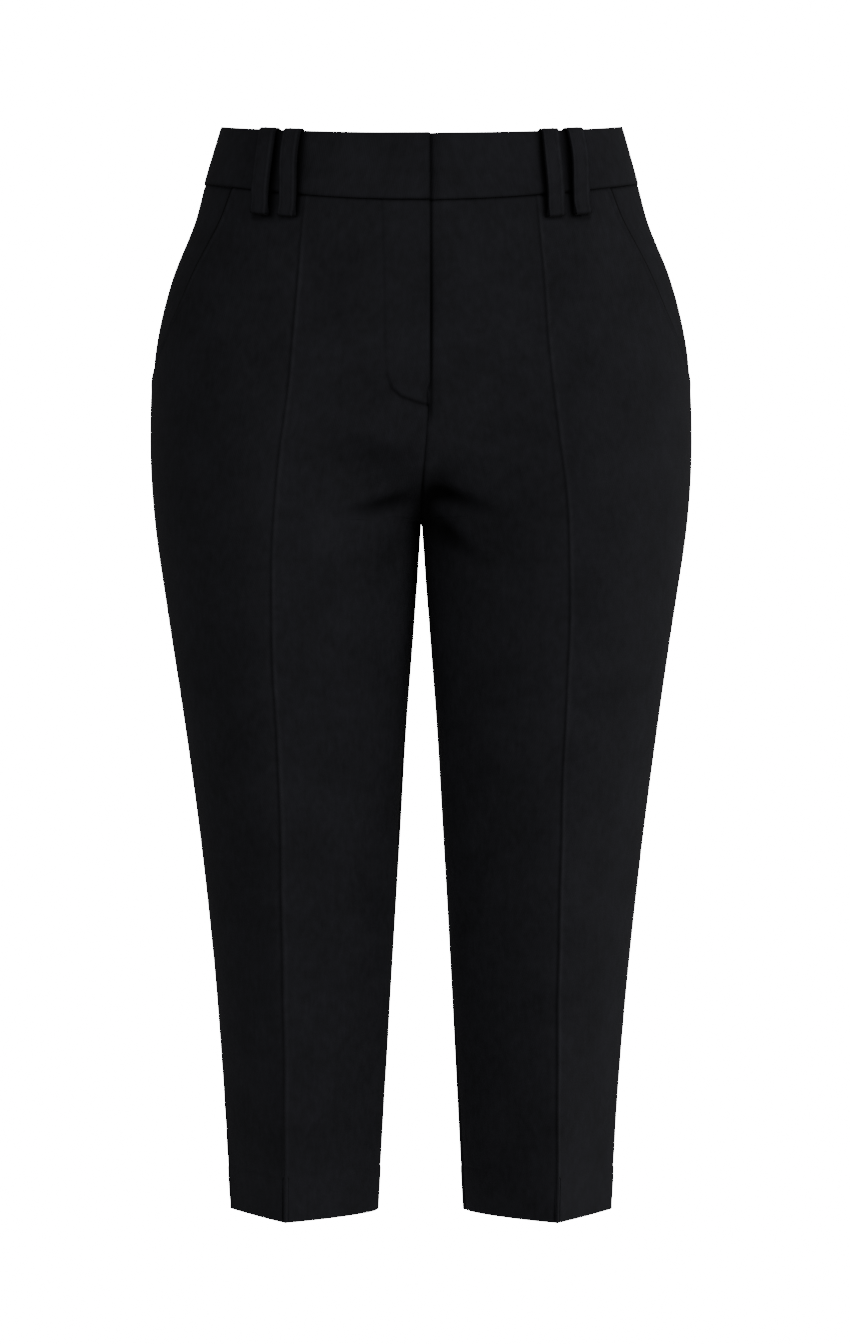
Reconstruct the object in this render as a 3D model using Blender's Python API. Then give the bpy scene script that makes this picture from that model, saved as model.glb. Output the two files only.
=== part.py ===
"""Capri pants, filled out as if worn, with no wearer inside.

Four leg panels, two slant pocket facings, a contoured waistband in two halves and six belt
loops. The garment stands around the Z axis with its front towards -Y. Z is 0 at the middle of
the waistband at the side seams. Every panel is a wall laid on one surface, which horizontal
sections describe: a trunk of two half ellipses becomes two pressed, lens-shaped legs.
Lengths are in millimetres until a mesh is made.
"""

from math import asin, cos, pi, sin

import bmesh
import bpy
import numpy as np

MM = 0.001
WALL = 1.6
BAND_WALL = 2.8
GAP = 0.3
SMOOTH_ANGLE = 0.6

# Heights, at the side seams.
BAND_TOP = 21.0
BAND_SEAM = -20.0
BAND_PROUD = 0.7
SHAPE_FROM = -50.0
SHAPE_TO = -205.0
FORK_FROM = -150.0
CROTCH = -256.0
CROTCH_Y = 15.0
HEM = -736.3
HEM_TURNUP = 31.0

# How far the waist line dips at the centre front and rises at the centre back.
FRONT_DIP_TOP = 17.0
FRONT_DIP_SEAM = 22.0
DIP_POWER_TOP = 1.2
DIP_POWER_SEAM = 1.65
CREASE_TURN = 31.0
BACK_RISE = 5.0
DIP_ENDS = -150.0

# Width at the side seam and depth of the front and back at the centre or the crease.
OUTLINE_COLUMNS = ("z", "side", "front", "back")
OUTLINE = (
    (21, 139.7, 94, 104),
    (-20, 151.5, 98, 112),
    (-44, 157.8, 101, 121),
    (-86, 174.2, 105, 133),
    (-128, 184.6, 108, 139),
    (-198, 189.0, 110, 140),
    (-254, 186.1, 107, 124),
    (-310, 178.5, 99, 106),
    (-394, 166.0, 88, 89),
    (-478, 154.5, 80, 80),
    (-562, 145.3, 74, 73),
    (-646, 138.5, 72, 70),
    (-736.3, 133.6, 71, 68),
)

# Where the pressed creases stand, and how sharp they and the seams of the leg are
# (1 is round, 1.7 is a lens with almost straight sides).
CREASE_COLUMNS = ("z", "front_x", "back_x", "sharp", "side_sharp", "inner_sharp")
CREASES = (
    (21, 72, 66, 1.0, 1.0, 1.0),
    (-45, 79, 72, 1.0, 1.0, 0.95),
    (-158, 88.2, 84, 1.05, 1.0, 0.8),
    (-250, 98.9, 96, 1.12, 1.0, 0.72),
    (-318, 100.6, 98, 1.2, 1.0, 0.74),
    (-457, 95.7, 94, 1.4, 1.1, 0.95),
    (-600, 93.5, 92, 1.55, 1.3, 1.25),
    (-736.3, 92.7, 91, 1.85, 1.95, 1.35),
)

# The inseam: its distance from the centre, its place front to back, and how far the back
# panel rolls in past it.
INSEAM_COLUMNS = ("z", "x", "y", "roll")
INSEAM = (
    (-256, 0.2, 15, 0.0),
    (-268, 1.1, 14, 0.1),
    (-296, 2.8, 11, 0.8),
    (-338, 6.2, 7, 2.0),
    (-394, 10.8, 3, 2.5),
    (-478, 15.9, 0, 2.8),
    (-590, 22.2, -2, 2.8),
    (-736.3, 30.9, -4, 2.6),
)

# The slant pocket's edge, as the distance round to the side seam.
POCKET_COLUMNS = ("z", "to_seam")
POCKET_EDGE = (
    (21, 65),
    (-20, 58),
    (-42, 54.7),
    (-58, 52),
    (-86, 49),
    (-107, 46),
    (-118, 42.5),
    (-132, 35),
    (-150, 20),
    (-166, 0),
)
POCKET_END = -166.0
POCKET_UNDERLAP = 12.0
POCKET_CLEAR = 1.5
POCKET_DEPTH = 2.4
POCKET_FACING_END = -162.0
POCKET_FLUSH_AT = 26.0

# The fly: the wearer's right laps over the left as far as LAP_EDGE.
LAP_EDGE = 6.0
LAP_RAMP_FROM = -40.0
LAP_RAMP_TO = -2.0
UNDER_RAMP_TO = 15.0
FLY_BOTTOM = -181.0
FLY_WHOLE = -166.0
STEP_ENDS = -198.0
RIGHT_LAP_COLUMNS = (0, 2, 14, 27, 42, 60)
LEFT_LAP_COLUMNS = (0, 6.6, 11, 15.5, 33, 55)
LAP_COLUMNS_FADE = -240.0
LAP_RAISE = 0.9
BAND_LAP_RAISE = 1.3

# The centre front seam below the fly wanders from the lap's edge back to the centre.
SEAM_DRIFT = 4.6
DRIFT_REACH = 55.0

# Soft folds where the legs meet the trunk: ends in (x, z), depth and half width.
FOLD_COLUMNS = ("x0", "z0", "x1", "z1", "depth", "half_width")
FRONT_FOLDS = (
    (7, -243, 58, -261, 3.0, 9),
    (-9, -246, -52, -258, 2.6, 8),
    (11, -268, 38, -296, 2.2, 9),
)

LOOP_COLUMNS = ("name", "side", "x_top", "x_foot")
LOOPS = (
    ("belt_loop_front_right_outer", -1, 103.5, 108.8),
    ("belt_loop_front_right_inner", -1, 86.5, 90.5),
    ("belt_loop_front_left_inner", 1, 86.5, 90.5),
    ("belt_loop_front_left_outer", 1, 103.5, 108.8),
    ("belt_loop_back_right", -1, 8.8, 8.8),
    ("belt_loop_back_left", 1, 8.8, 8.8),
)
LOOP_WIDTH = 11.0
LOOP_THICK = 1.8
LOOP_FOOT = 16.6
LOOP_FOLD = 4.0
LOOP_BOW = 2.6
LOOP_INSIDE = 7.0
LOOP_CLEAR = 0.55

INNER_COLUMNS = 6
OUTER_COLUMNS = 8
POCKET_STEPS = 3
BAND_COLUMNS = 9

SEAM_ROWS = (-20, -40, -60, -82, -104, -126, -148, -166, -181)
FORK_ANGLES = (18, 29, 40, 51, 62, 72, 81.5, 90)
FORK_POWER = 3.0
BRIDGE_POWER = 3.0
LEG_ROWS = (-262, -272, -287, -307, -334, -368, -410, -458, -510, -563, -615, -662)

BLACK_SUITING = (0.0080, 0.0080, 0.0091, 1.0)
SHADES = {"panel": 1.0, "band": 1.15, "facing": 0.85, "loop": 1.3}
CLOTH_ROUGHNESS = 0.85


# ---------------------------------------------------------------- tables and curves


def read(rows, columns, z, name):
    """A smooth curve through one column of a table, read at height z."""
    heights = np.array([row[0] for row in rows], float)[::-1]
    values = np.array([row[columns.index(name)] for row in rows], float)[::-1]
    slopes = np.gradient(values, heights)
    z = min(max(z, heights[0]), heights[-1])
    i = min(int(np.searchsorted(heights, z, side="right")) - 1, len(heights) - 2)
    step = heights[i + 1] - heights[i]
    t = (z - heights[i]) / step
    near = (1 + 2 * t) * (1 - t) ** 2 * values[i] + t * (1 - t) ** 2 * step * slopes[i]
    far = t * t * (3 - 2 * t) * values[i + 1] - t * t * (1 - t) * step * slopes[i + 1]
    return near + far


def share_between(z, low, high):
    """0 at the low height or below, 1 at the high one or above, and straight between."""
    return min(max((z - low) / (high - low), 0.0), 1.0)


def smooth_step(x):
    x = min(max(x, 0.0), 1.0)
    return x * x * (3 - 2 * x)


def fork_share(z):
    """How far the centre line has closed in on the crotch point, from 0 to 1."""
    t = share_between(-z, -FORK_FROM, -CROTCH)
    return 1 - (1 - t**FORK_POWER) ** (1 / FORK_POWER)


def bridged(leg, centre):
    """The leg's curve back from the crease, held forward by the cloth across the centre."""
    if leg <= 0 or centre <= 0:
        return 0.0
    a, b = leg**BRIDGE_POWER, centre**BRIDGE_POWER
    return leg * centre / (a + b - a * b) ** (1 / BRIDGE_POWER)


def waist_dip(s, face, at_top):
    """How far the waist line lies below its height at the side seam."""
    if face > 0:
        return -BACK_RISE * (0.5 + 0.5 * cos(s / 2 * pi))
    angle = CREASE_TURN * s if s <= 1 else CREASE_TURN + (90 - CREASE_TURN) * (s - 1)
    facing = max(cos(angle * pi / 180), 0.0)
    if at_top:
        return FRONT_DIP_TOP * facing**DIP_POWER_TOP
    return FRONT_DIP_SEAM * facing**DIP_POWER_SEAM


def body_point(z, s, face):
    """The surface of one half: s is 0 at the centre or inseam, 1 at the crease, 2 at the side.

    face is -1 for the front and 1 for the back.
    """
    key = "front" if face < 0 else "back"
    side = read(OUTLINE, OUTLINE_COLUMNS, z, "side")
    depth = face * read(OUTLINE, OUTLINE_COLUMNS, z, key)
    crease = read(CREASES, CREASE_COLUMNS, z, key + "_x")
    sharp = read(CREASES, CREASE_COLUMNS, z, "sharp")
    side_sharp = read(CREASES, CREASE_COLUMNS, z, "side_sharp")
    inner_sharp = read(CREASES, CREASE_COLUMNS, z, "inner_sharp")

    turn = asin(crease / side)
    angle = turn * s if s <= 1 else turn + (pi / 2 - turn) * (s - 1)
    trunk = np.array([side * sin(angle), depth * cos(angle)])

    below = z <= CROTCH
    inner_x = read(INSEAM, INSEAM_COLUMNS, z, "x") if below else 0.0
    inner_y = read(INSEAM, INSEAM_COLUMNS, z, "y") if below else CROTCH_Y
    if s <= 1:
        closing = 1.0 if below else share_between(-z, -FORK_FROM, -CROTCH) ** 2
        across = (1 - closing) * (1 - s) + closing * sin((1 - s) * pi / 2) ** sharp
        x = crease - (crease - inner_x) * across
        back_off = 1 - max(1 - across ** (2 / sharp), 0.0) ** (inner_sharp / 2)
        bridge = 1.0 if below else fork_share(z)
        y = depth + (inner_y - depth) * bridged(back_off, bridge)
        if face > 0 and below:
            turn_in = across**4 * max(1 - across**2, 0.0) ** 0.5
            x -= read(INSEAM, INSEAM_COLUMNS, z, "roll") * 4 * turn_in
    else:
        a = (s - 1) * pi / 2
        x = crease + (side - crease) * sin(a) ** sharp
        y = depth * max(cos(a), 0.0) ** side_sharp
    leg = np.array([x, y])

    weight = smooth_step((SHAPE_FROM - z) / (SHAPE_FROM - SHAPE_TO))
    return trunk + weight * (leg - trunk)


def height(level, s, face):
    """The real height of a row that meets the side seam at this level."""
    fade = smooth_step((level - DIP_ENDS) / (BAND_SEAM - DIP_ENDS))
    at_seam = waist_dip(s, face, False)
    if level <= BAND_SEAM:
        return level - at_seam * fade
    at_top = waist_dip(s, face, True)
    share = (level - BAND_SEAM) / (BAND_TOP - BAND_SEAM)
    return level - at_seam - (at_top - at_seam) * share


def fold_depth(x, z):
    """How deep the soft folds press the front in at this place."""
    total = 0.0
    for row in FRONT_FOLDS:
        fold = dict(zip(FOLD_COLUMNS, row))
        start = np.array([fold["x0"], fold["z0"]])
        run = np.array([fold["x1"], fold["z1"]]) - start
        along = float(np.dot(np.array([x, z]) - start, run) / np.dot(run, run))
        across = np.linalg.norm(np.array([x, z]) - start - along * run)
        taper = max(0.0, 1 - (2 * along - 1) ** 2) if 0 < along < 1 else 0.0
        total += fold["depth"] * taper * np.exp(-((across / fold["half_width"]) ** 2))
    return total


def lap_share(z):
    """How much of the fly's lap there is at this height."""
    return share_between(z, FLY_BOTTOM, FLY_WHOLE)


def surface(level, s, face, side):
    """A point of the garment's outer surface; side is 1 for the wearer's left, -1 for the right."""
    z = height(level, s, face)
    x, y = body_point(z, s, face)
    x *= side
    if face < 0:
        y += fold_depth(x, z)
        drift = SEAM_DRIFT * smooth_step((z - CROTCH) / (FLY_BOTTOM - CROTCH))
        drift *= 1 - lap_share(z)
        x += drift * max(0.0, 1 - abs(x) / DRIFT_REACH) ** 2
    return np.array([x, y, z])


def outward(level, s, face, side):
    """The surface's unit normal, level, by the slope of the section."""
    d = 0.01
    if s < d:
        ends = (s, s + d)
    else:
        ends = (s - d, s + d)
    a = body_point(height(level, ends[0], face), ends[0], face)
    b = body_point(height(level, ends[1], face), ends[1], face)
    if s > 2 - d:
        return np.array([side, 0.0, 0.0])
    if s < d and height(level, s, face) <= CROTCH:
        return np.array([-side, 0.0, 0.0])
    along = b - a
    normal = np.array([-along[1], along[0]]) * face
    normal /= np.linalg.norm(normal)
    return np.array([normal[0] * side, normal[1], 0.0])


# ---------------------------------------------------------------- the solids


def wall_solid(outer, inner):
    """A closed wall between two grids of points, both seen from outside, in rows and columns."""
    bm = bmesh.new()
    rows, columns = len(outer), len(outer[0])
    out = [[bm.verts.new(p * MM) for p in row] for row in outer]
    inn = [[bm.verts.new(p * MM) for p in row] for row in inner]
    for i in range(rows - 1):
        for j in range(columns - 1):
            bm.faces.new((out[i][j], out[i + 1][j], out[i + 1][j + 1], out[i][j + 1]))
            bm.faces.new((inn[i][j], inn[i][j + 1], inn[i + 1][j + 1], inn[i + 1][j]))
    for i in range(rows - 1):
        bm.faces.new((out[i + 1][0], out[i][0], inn[i][0], inn[i + 1][0]))
        bm.faces.new((out[i][-1], out[i + 1][-1], inn[i + 1][-1], inn[i][-1]))
    for j in range(columns - 1):
        bm.faces.new((out[0][j], out[0][j + 1], inn[0][j + 1], inn[0][j]))
        bm.faces.new((out[-1][j + 1], out[-1][j], inn[-1][j], inn[-1][j + 1]))
    return bm


def cloth(shade):
    """Black suiting, a little lighter or darker for each kind of piece."""
    name = "black_suiting_" + shade
    material = bpy.data.materials.get(name)
    if material:
        return material
    material = bpy.data.materials.new(name)
    material.use_nodes = True
    shader = material.node_tree.nodes["Principled BSDF"]
    tone = SHADES[shade]
    colour = tuple(c * tone for c in BLACK_SUITING[:3]) + (1.0,)
    shader.inputs["Base Color"].default_value = colour
    shader.inputs["Roughness"].default_value = CLOTH_ROUGHNESS
    shader.inputs["Metallic"].default_value = 0.0
    return material


def add_object(name, bm, shade):
    bmesh.ops.recalc_face_normals(bm, faces=bm.faces)
    bmesh.ops.triangulate(bm, faces=bm.faces)
    mesh = bpy.data.meshes.new(name)
    bm.to_mesh(mesh)
    bm.free()
    mesh.shade_smooth()
    mesh.set_sharp_from_angle(angle=SMOOTH_ANGLE)
    mesh.materials.append(cloth(shade))
    piece = bpy.data.objects.new(name, mesh)
    bpy.context.collection.objects.link(piece)
    return piece


def rows_of_levels():
    """The side-seam heights of a panel's rows, from the waist seam to the hem."""
    fork = [
        FORK_FROM - (FORK_FROM - CROTCH) * sin(a * pi / 180) ** (2 / FORK_POWER)
        for a in FORK_ANGLES
    ]
    turnup = HEM + HEM_TURNUP
    return [*SEAM_ROWS, *fork, *LEG_ROWS, turnup + 1.5, turnup, HEM]


def hem_wall(level):
    """The hem is turned up, so its wall is double."""
    return 2 * WALL + 0.1 if level <= HEM + HEM_TURNUP else WALL


def arc_to_s(level, distance, face, side):
    """The column that lies this far round from the side seam."""
    if distance <= 0:
        return 2.0
    steps = 60
    s, walked = 2.0, 0.0
    here = surface(level, s, face, side)
    for i in range(1, steps):
        nxt = 2.0 - i / steps
        there = surface(level, nxt, face, side)
        piece = np.linalg.norm(there[:2] - here[:2])
        if walked + piece >= distance:
            return s - (distance - walked) / piece / steps
        s, walked, here = nxt, walked + piece, there
    return s


def pocket_edge(level, side):
    """The column of the slant pocket's edge, or of the side seam below the pocket."""
    if level <= POCKET_END:
        return 2.0
    distance = read(POCKET_EDGE, POCKET_COLUMNS, level, "to_seam")
    return arc_to_s(level, max(distance, 0.0), -1, side)


def s_at_x(level, x, face, side):
    """The column where the surface stands this far from the centre plane."""
    low, high = 0.0, 2.0
    for _ in range(30):
        middle = (low + high) / 2
        if side * surface(level, middle, face, side)[0] < x:
            low = middle
        else:
            high = middle
    return (low + high) / 2


def over_lap(x, amount):
    """How far the right front stands out near the lap's edge."""
    return amount * smooth_step((x - LAP_RAMP_FROM) / (LAP_RAMP_TO - LAP_RAMP_FROM))


def under_lap(x, amount):
    """How far the left front is pressed in under the lap."""
    return amount * smooth_step((UNDER_RAMP_TO - x) / (UNDER_RAMP_TO - LAP_EDGE))


def front_columns(level, side):
    """Columns of a front, closer beside the fly, ending at the pocket's edge or side seam."""
    places = RIGHT_LAP_COLUMNS if side < 0 else LEFT_LAP_COLUMNS
    beside_fly = smooth_step(share_between(level, LAP_COLUMNS_FADE, FLY_BOTTOM))
    inner = []
    for j, x in enumerate(places):
        even = j / INNER_COLUMNS
        by_place = s_at_x(level, x, -1, side) if j and beside_fly else even
        inner.append(even + beside_fly * (by_place - even))
    end = pocket_edge(level, side)
    outer = [1 + (end - 1) * j / OUTER_COLUMNS for j in range(OUTER_COLUMNS + 1)]
    return inner + outer


def even_columns(inner, outer):
    """Columns from the centre or inseam, over the crease, to the side seam."""
    return [j / inner for j in range(inner)] + [1 + j / outer for j in range(outer + 1)]


def edge_gap(point, level, s, face, side):
    """Half a seam's gap, taken off a panel's edge."""
    half = GAP / 2
    if s >= 2:
        point[1] += face * half
    elif s == 0 and point[2] <= CROTCH + 1e-6:
        point[1] += face * half
    return point


def panel(name, face, side):
    outer, inner = [], []
    for level in rows_of_levels():
        columns = front_columns(level, side) if face < 0 else even_columns(INNER_COLUMNS, OUTER_COLUMNS)
        out_row, in_row = [], []
        for j, s in enumerate(columns):
            point = surface(level, s, face, side)
            normal = outward(level, s, face, side)
            drop = GAP / 2 if level == BAND_SEAM else 0.0
            point[2] -= drop
            if face < 0:
                step = share_between(point[2], STEP_ENDS, FLY_BOTTOM)
                if side < 0:
                    shift = over_lap(point[0], LAP_RAISE) * step
                    if j == 0:
                        point[0] += LAP_EDGE * lap_share(point[2])
                else:
                    shift = -under_lap(point[0], WALL + GAP - LAP_RAISE) * step
            else:
                shift = 0.0
            if j == 0 and point[2] > CROTCH:
                point[0] += side * GAP / 2
            point = edge_gap(point, level, s, face, side)
            out_row.append(point + normal * shift)
            in_row.append(point + normal * (shift - hem_wall(level)))
        outer.append(out_row)
        inner.append(in_row)
    return add_object(name, wall_solid(outer, inner), "panel")


def pocket_facing(name, side):
    """The hip piece behind the slant edge: tucked under the front, flush at the side seam."""
    outer, inner = [], []
    levels = [z for z in rows_of_levels() if z > POCKET_FACING_END] + [POCKET_FACING_END]
    for level in levels:
        edge = max(read(POCKET_EDGE, POCKET_COLUMNS, level, "to_seam"), 0.0)
        out_row, in_row = [], []
        exposed = [edge * (1 - j / POCKET_STEPS) for j in range(1, POCKET_STEPS + 1)]
        for distance in (edge + POCKET_UNDERLAP, edge + POCKET_CLEAR, *exposed):
            s = arc_to_s(level, distance, -1, side)
            point = surface(level, s, -1, side)
            normal = outward(level, s, -1, side)
            point[2] -= GAP / 2 if level == BAND_SEAM else 0.0
            if distance == exposed[-1]:
                point[1] -= GAP / 2
            flush = min(edge / POCKET_FLUSH_AT, 1.0)
            out_share = share_between(-distance, -edge, 0.0) if edge > 0 else 0.0
            shift = -POCKET_DEPTH * (1 - flush * smooth_step(out_share))
            out_row.append(point + normal * shift)
            in_row.append(point + normal * (shift - WALL))
        outer.append(out_row)
        inner.append(in_row)
    return add_object(name, wall_solid(outer, inner), "facing")


def waistband(name, side):
    """Half the band, from the lap at the centre front round to the centre back."""
    quarter = even_columns(BAND_COLUMNS, BAND_COLUMNS)
    columns = [(-1, s) for s in quarter] + [(1, s) for s in quarter[-2::-1]]
    levels = (BAND_TOP, (BAND_TOP + BAND_SEAM) / 2, BAND_SEAM)
    outer, inner = [], []
    for level in levels:
        out_row, in_row = [], []
        for j, (face, s) in enumerate(columns):
            point = surface(level, s, face, side)
            normal = outward(level, s, face, side)
            point[2] += GAP / 2 if level == BAND_SEAM else 0.0
            shift = BAND_PROUD
            if face < 0:
                if side < 0:
                    if j == 0:
                        point[0] += LAP_EDGE - GAP
                    shift += over_lap(point[0], BAND_LAP_RAISE)
                else:
                    under = BAND_WALL + GAP - BAND_LAP_RAISE
                    shift -= under_lap(point[0], under)
            if s == 0:
                point[0] += side * GAP / 2
            out_row.append(point + normal * shift)
            in_row.append(point + normal * (shift - BAND_WALL))
        outer.append(out_row)
        inner.append(in_row)
    return add_object(name, wall_solid(outer, inner), "band")


def loop_path():
    """A strap from its foot to the inside of the band: level, offset of its middle, thickness."""
    stand = GAP + LOOP_CLEAR
    thin = LOOP_THICK
    foot = BAND_SEAM - LOOP_FOOT
    band_out = BAND_PROUD + stand + thin / 2
    band_in = BAND_PROUD - BAND_WALL - stand - thin / 2
    over = BAND_TOP + stand + thin / 2
    middle = (BAND_SEAM + BAND_TOP) / 2
    return (
        (foot, stand + thin, 2 * thin),
        (foot + LOOP_FOLD, stand + thin, 2 * thin),
        (foot + LOOP_FOLD + 1.5, stand + 1.2 * thin, thin),
        (BAND_SEAM, band_out + 0.6 * LOOP_BOW, thin),
        (middle, band_out + LOOP_BOW, thin),
        (BAND_TOP - 6, band_out + 0.5 * LOOP_BOW, thin),
        (BAND_TOP - 0.6, band_out, thin),
        (over, BAND_PROUD + 0.2, thin),
        (over, BAND_PROUD - BAND_WALL - 0.2, thin),
        (BAND_TOP - 0.6, band_in, thin),
        (BAND_TOP - LOOP_INSIDE, band_in, thin),
    )


def belt_loop(name, side, x_top, x_foot):
    """A strap over the band: its foot folded under and tacked, its head over the top edge."""
    face = 1 if "back" in name else -1
    path = loop_path()
    foot = path[0][0]
    rings_out, rings_in = [], []
    for k, (level, offset, thick) in enumerate(path):
        before, after = path[max(k - 1, 0)], path[min(k + 1, len(path) - 1)]
        run = np.array([after[0] - before[0], after[1] - before[1]])
        run *= thick / 2 / np.linalg.norm(run)
        share = share_between(level, foot, BAND_TOP)
        centre = x_foot + (x_top - x_foot) * share
        on_band = min(level, BAND_TOP)
        out_row, in_row = [], []
        for across in (-0.5, 0.0, 0.5):
            s = s_at_x(on_band, centre + across * LOOP_WIDTH, face, side)
            base = surface(on_band, s, face, side)
            base[2] += level - on_band
            normal = outward(on_band, s, face, side)
            up = np.array([0.0, 0.0, 1.0])
            for row, sign in ((out_row, 1), (in_row, -1)):
                row.append(base + normal * (offset + sign * run[0]) - up * sign * run[1])
        rings_out.append(out_row)
        rings_in.append(in_row)
    return add_object(name, wall_solid(rings_out, rings_in), "loop")


def build():
    for old in list(bpy.data.objects):
        bpy.data.objects.remove(old, do_unlink=True)
    for hand, side in (("right", -1), ("left", 1)):
        panel("front_" + hand, -1, side)
        panel("back_" + hand, 1, side)
        pocket_facing("pocket_facing_" + hand, side)
        waistband("waistband_" + hand, side)
    for row in LOOPS:
        belt_loop(*row)


build()
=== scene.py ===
"""Looks of a pair of black capri pants, pressed and filled out as if worn, with no wearer.

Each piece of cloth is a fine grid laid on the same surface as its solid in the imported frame,
then creased, stitched and folded along its own normals and given its thickness. Shapes are
worked out in millimetres: X is across, with the wearer's left at +X, the front faces -Y, and
Z is 0 at the middle of the waistband at the side seams.
"""

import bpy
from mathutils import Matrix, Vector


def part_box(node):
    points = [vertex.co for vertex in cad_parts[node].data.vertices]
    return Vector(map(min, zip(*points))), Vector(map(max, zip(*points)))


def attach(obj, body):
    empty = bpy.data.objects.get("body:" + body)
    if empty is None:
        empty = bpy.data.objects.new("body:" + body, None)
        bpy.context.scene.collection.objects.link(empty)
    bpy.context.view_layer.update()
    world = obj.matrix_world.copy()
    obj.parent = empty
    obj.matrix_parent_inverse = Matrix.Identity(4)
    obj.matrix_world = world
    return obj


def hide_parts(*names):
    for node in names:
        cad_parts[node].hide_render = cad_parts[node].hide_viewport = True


bl_info = {
    "name": "Pressed Capri Pants",
    "version": (1, 0, 0),
    "blender": (4, 5, 0),
    "location": "3D View > Sidebar > Capri Pants",
    "description": "Sews the cloth, creases, folds and stitching of a pair of capri pants",
    "category": "Object",
}

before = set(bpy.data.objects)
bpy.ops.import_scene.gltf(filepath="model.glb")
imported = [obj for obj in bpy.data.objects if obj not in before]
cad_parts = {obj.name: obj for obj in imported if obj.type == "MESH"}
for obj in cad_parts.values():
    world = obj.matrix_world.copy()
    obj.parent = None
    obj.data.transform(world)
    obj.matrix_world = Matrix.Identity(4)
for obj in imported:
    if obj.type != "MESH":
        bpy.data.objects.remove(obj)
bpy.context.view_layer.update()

import math

import bpy
import numpy as np

MM = 0.001

# ---------------------------------------------------------------- the cut, as in the frame

# Walls of one and two layers, the gap between two solids, and how far the fine edge of each
# piece is drawn back from the middle of a seam.
WALL = 1.6
HEM_WALL = 3.3
BAND_WALL = 2.8
GAP = 0.3
TOUCH = 0.04
BAND_TOP = 21.0
BAND_SEAM = -20.0
BAND_PROUD = 0.7
# The round trunk turns into two creased legs between these heights.
SHAPE_FROM = -50.0
SHAPE_TO = -205.0
# The centre front and back draw in to the crotch between these, and how suddenly.
FORK_FROM = -150.0
CROTCH = -256.0
FORK_POWER = 3.0
BRIDGE_POWER = 3.0
CROTCH_Y = 15.0
HEM = -736.3
HEM_TURNUP = 31.0
# The waist line dips at the centre front and rises at the centre back. The angle is where
# the crease stands round the waist, in degrees.
FRONT_DIP_TOP = 17.0
FRONT_DIP_SEAM = 22.0
DIP_POWER_TOP = 1.2
DIP_POWER_SEAM = 1.65
CREASE_TURN = 31.0
BACK_RISE = 5.0
DIP_ENDS = -150.0

OUTLINE_COLUMNS = ("z", "side", "front", "back")
OUTLINE = (
    (21, 139.7, 94, 104),
    (-20, 151.5, 98, 112),
    (-44, 157.8, 101, 121),
    (-86, 174.2, 105, 133),
    (-128, 184.6, 108, 139),
    (-198, 189.0, 110, 140),
    (-254, 186.1, 107, 124),
    (-310, 178.5, 99, 106),
    (-394, 166.0, 88, 89),
    (-478, 154.5, 80, 80),
    (-562, 145.3, 74, 73),
    (-646, 138.5, 72, 70),
    (-736.3, 133.6, 71, 68),
)

CREASE_COLUMNS = ("z", "front_x", "back_x", "sharp", "side_sharp", "inner_sharp")
CREASES = (
    (21, 72, 66, 1.0, 1.0, 1.0),
    (-45, 79, 72, 1.0, 1.0, 0.95),
    (-158, 88.2, 84, 1.05, 1.0, 0.8),
    (-250, 98.9, 96, 1.12, 1.0, 0.72),
    (-318, 100.6, 98, 1.2, 1.0, 0.74),
    (-457, 95.7, 94, 1.4, 1.1, 0.95),
    (-600, 93.5, 92, 1.55, 1.3, 1.25),
    (-736.3, 92.7, 91, 1.85, 1.95, 1.35),
)

INSEAM_COLUMNS = ("z", "x", "y", "roll")
INSEAM = (
    (-256, 0.2, 15, 0.0),
    (-268, 1.1, 14, 0.1),
    (-296, 2.8, 11, 0.8),
    (-338, 6.2, 7, 2.0),
    (-394, 10.8, 3, 2.5),
    (-478, 15.9, 0, 2.8),
    (-590, 22.2, -2, 2.8),
    (-736.3, 30.9, -4, 2.6),
)

POCKET_COLUMNS = ("z", "to_seam")
POCKET_EDGE = (
    (21, 65),
    (-20, 58),
    (-42, 54.7),
    (-58, 52),
    (-86, 49),
    (-107, 46),
    (-118, 42.5),
    (-132, 35),
    (-150, 20),
    (-166, 0),
)
POCKET_END = -166.0
POCKET_UNDERLAP = 12.0
POCKET_DEPTH = 2.4
POCKET_FLUSH_AT = 26.0

# The fly: the lap's edge past the centre line, where each front leaves its plain surface for
# it, and the heights between which the lap ends.
LAP_EDGE = 6.0
LAP_RAMP_FROM = -40.0
LAP_RAMP_TO = -2.0
UNDER_RAMP_TO = 15.0
FLY_BOTTOM = -181.0
FLY_WHOLE = -166.0
STEP_ENDS = -198.0
LAP_RAISE = 0.9
BAND_LAP_RAISE = 1.3
SEAM_DRIFT = 4.6
DRIFT_REACH = 55.0

LOOP_COLUMNS = ("name", "side", "face", "x_top", "x_foot", "sway")
LOOPS = (
    ("belt_loop_front_right_outer", -1, -1, 103.5, 108.8, 0.5),
    ("belt_loop_front_right_inner", -1, -1, 86.5, 90.5, -0.4),
    ("belt_loop_front_left_inner", 1, -1, 86.5, 90.5, 0.4),
    ("belt_loop_front_left_outer", 1, -1, 103.5, 108.8, -0.5),
    ("belt_loop_back_right", -1, 1, 8.8, 8.8, 0.3),
    ("belt_loop_back_left", 1, 1, 8.8, 8.8, -0.3),
)
# A strap: its size, the foot below the waist seam and its fold, how far it bows out from the
# band, how far it goes down inside, and its distance from the band.
LOOP_WIDTH = 11.0
LOOP_THICK = 1.8
LOOP_FOLD_THICK = 1.2
LOOP_OVER = 0.4
LOOP_FOOT = 16.6
LOOP_FOLD = 4.0
LOOP_BOW = 2.6
LOOP_INSIDE = 7.0
LOOP_CLEAR = 0.55
# About where the loops stand round the front and the back: 0 is the centre, 2 the side.
LOOP_COLUMN = {-1: 1.2, 1: 0.2}

# ---------------------------------------------------------------- how fine the grids are

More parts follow.
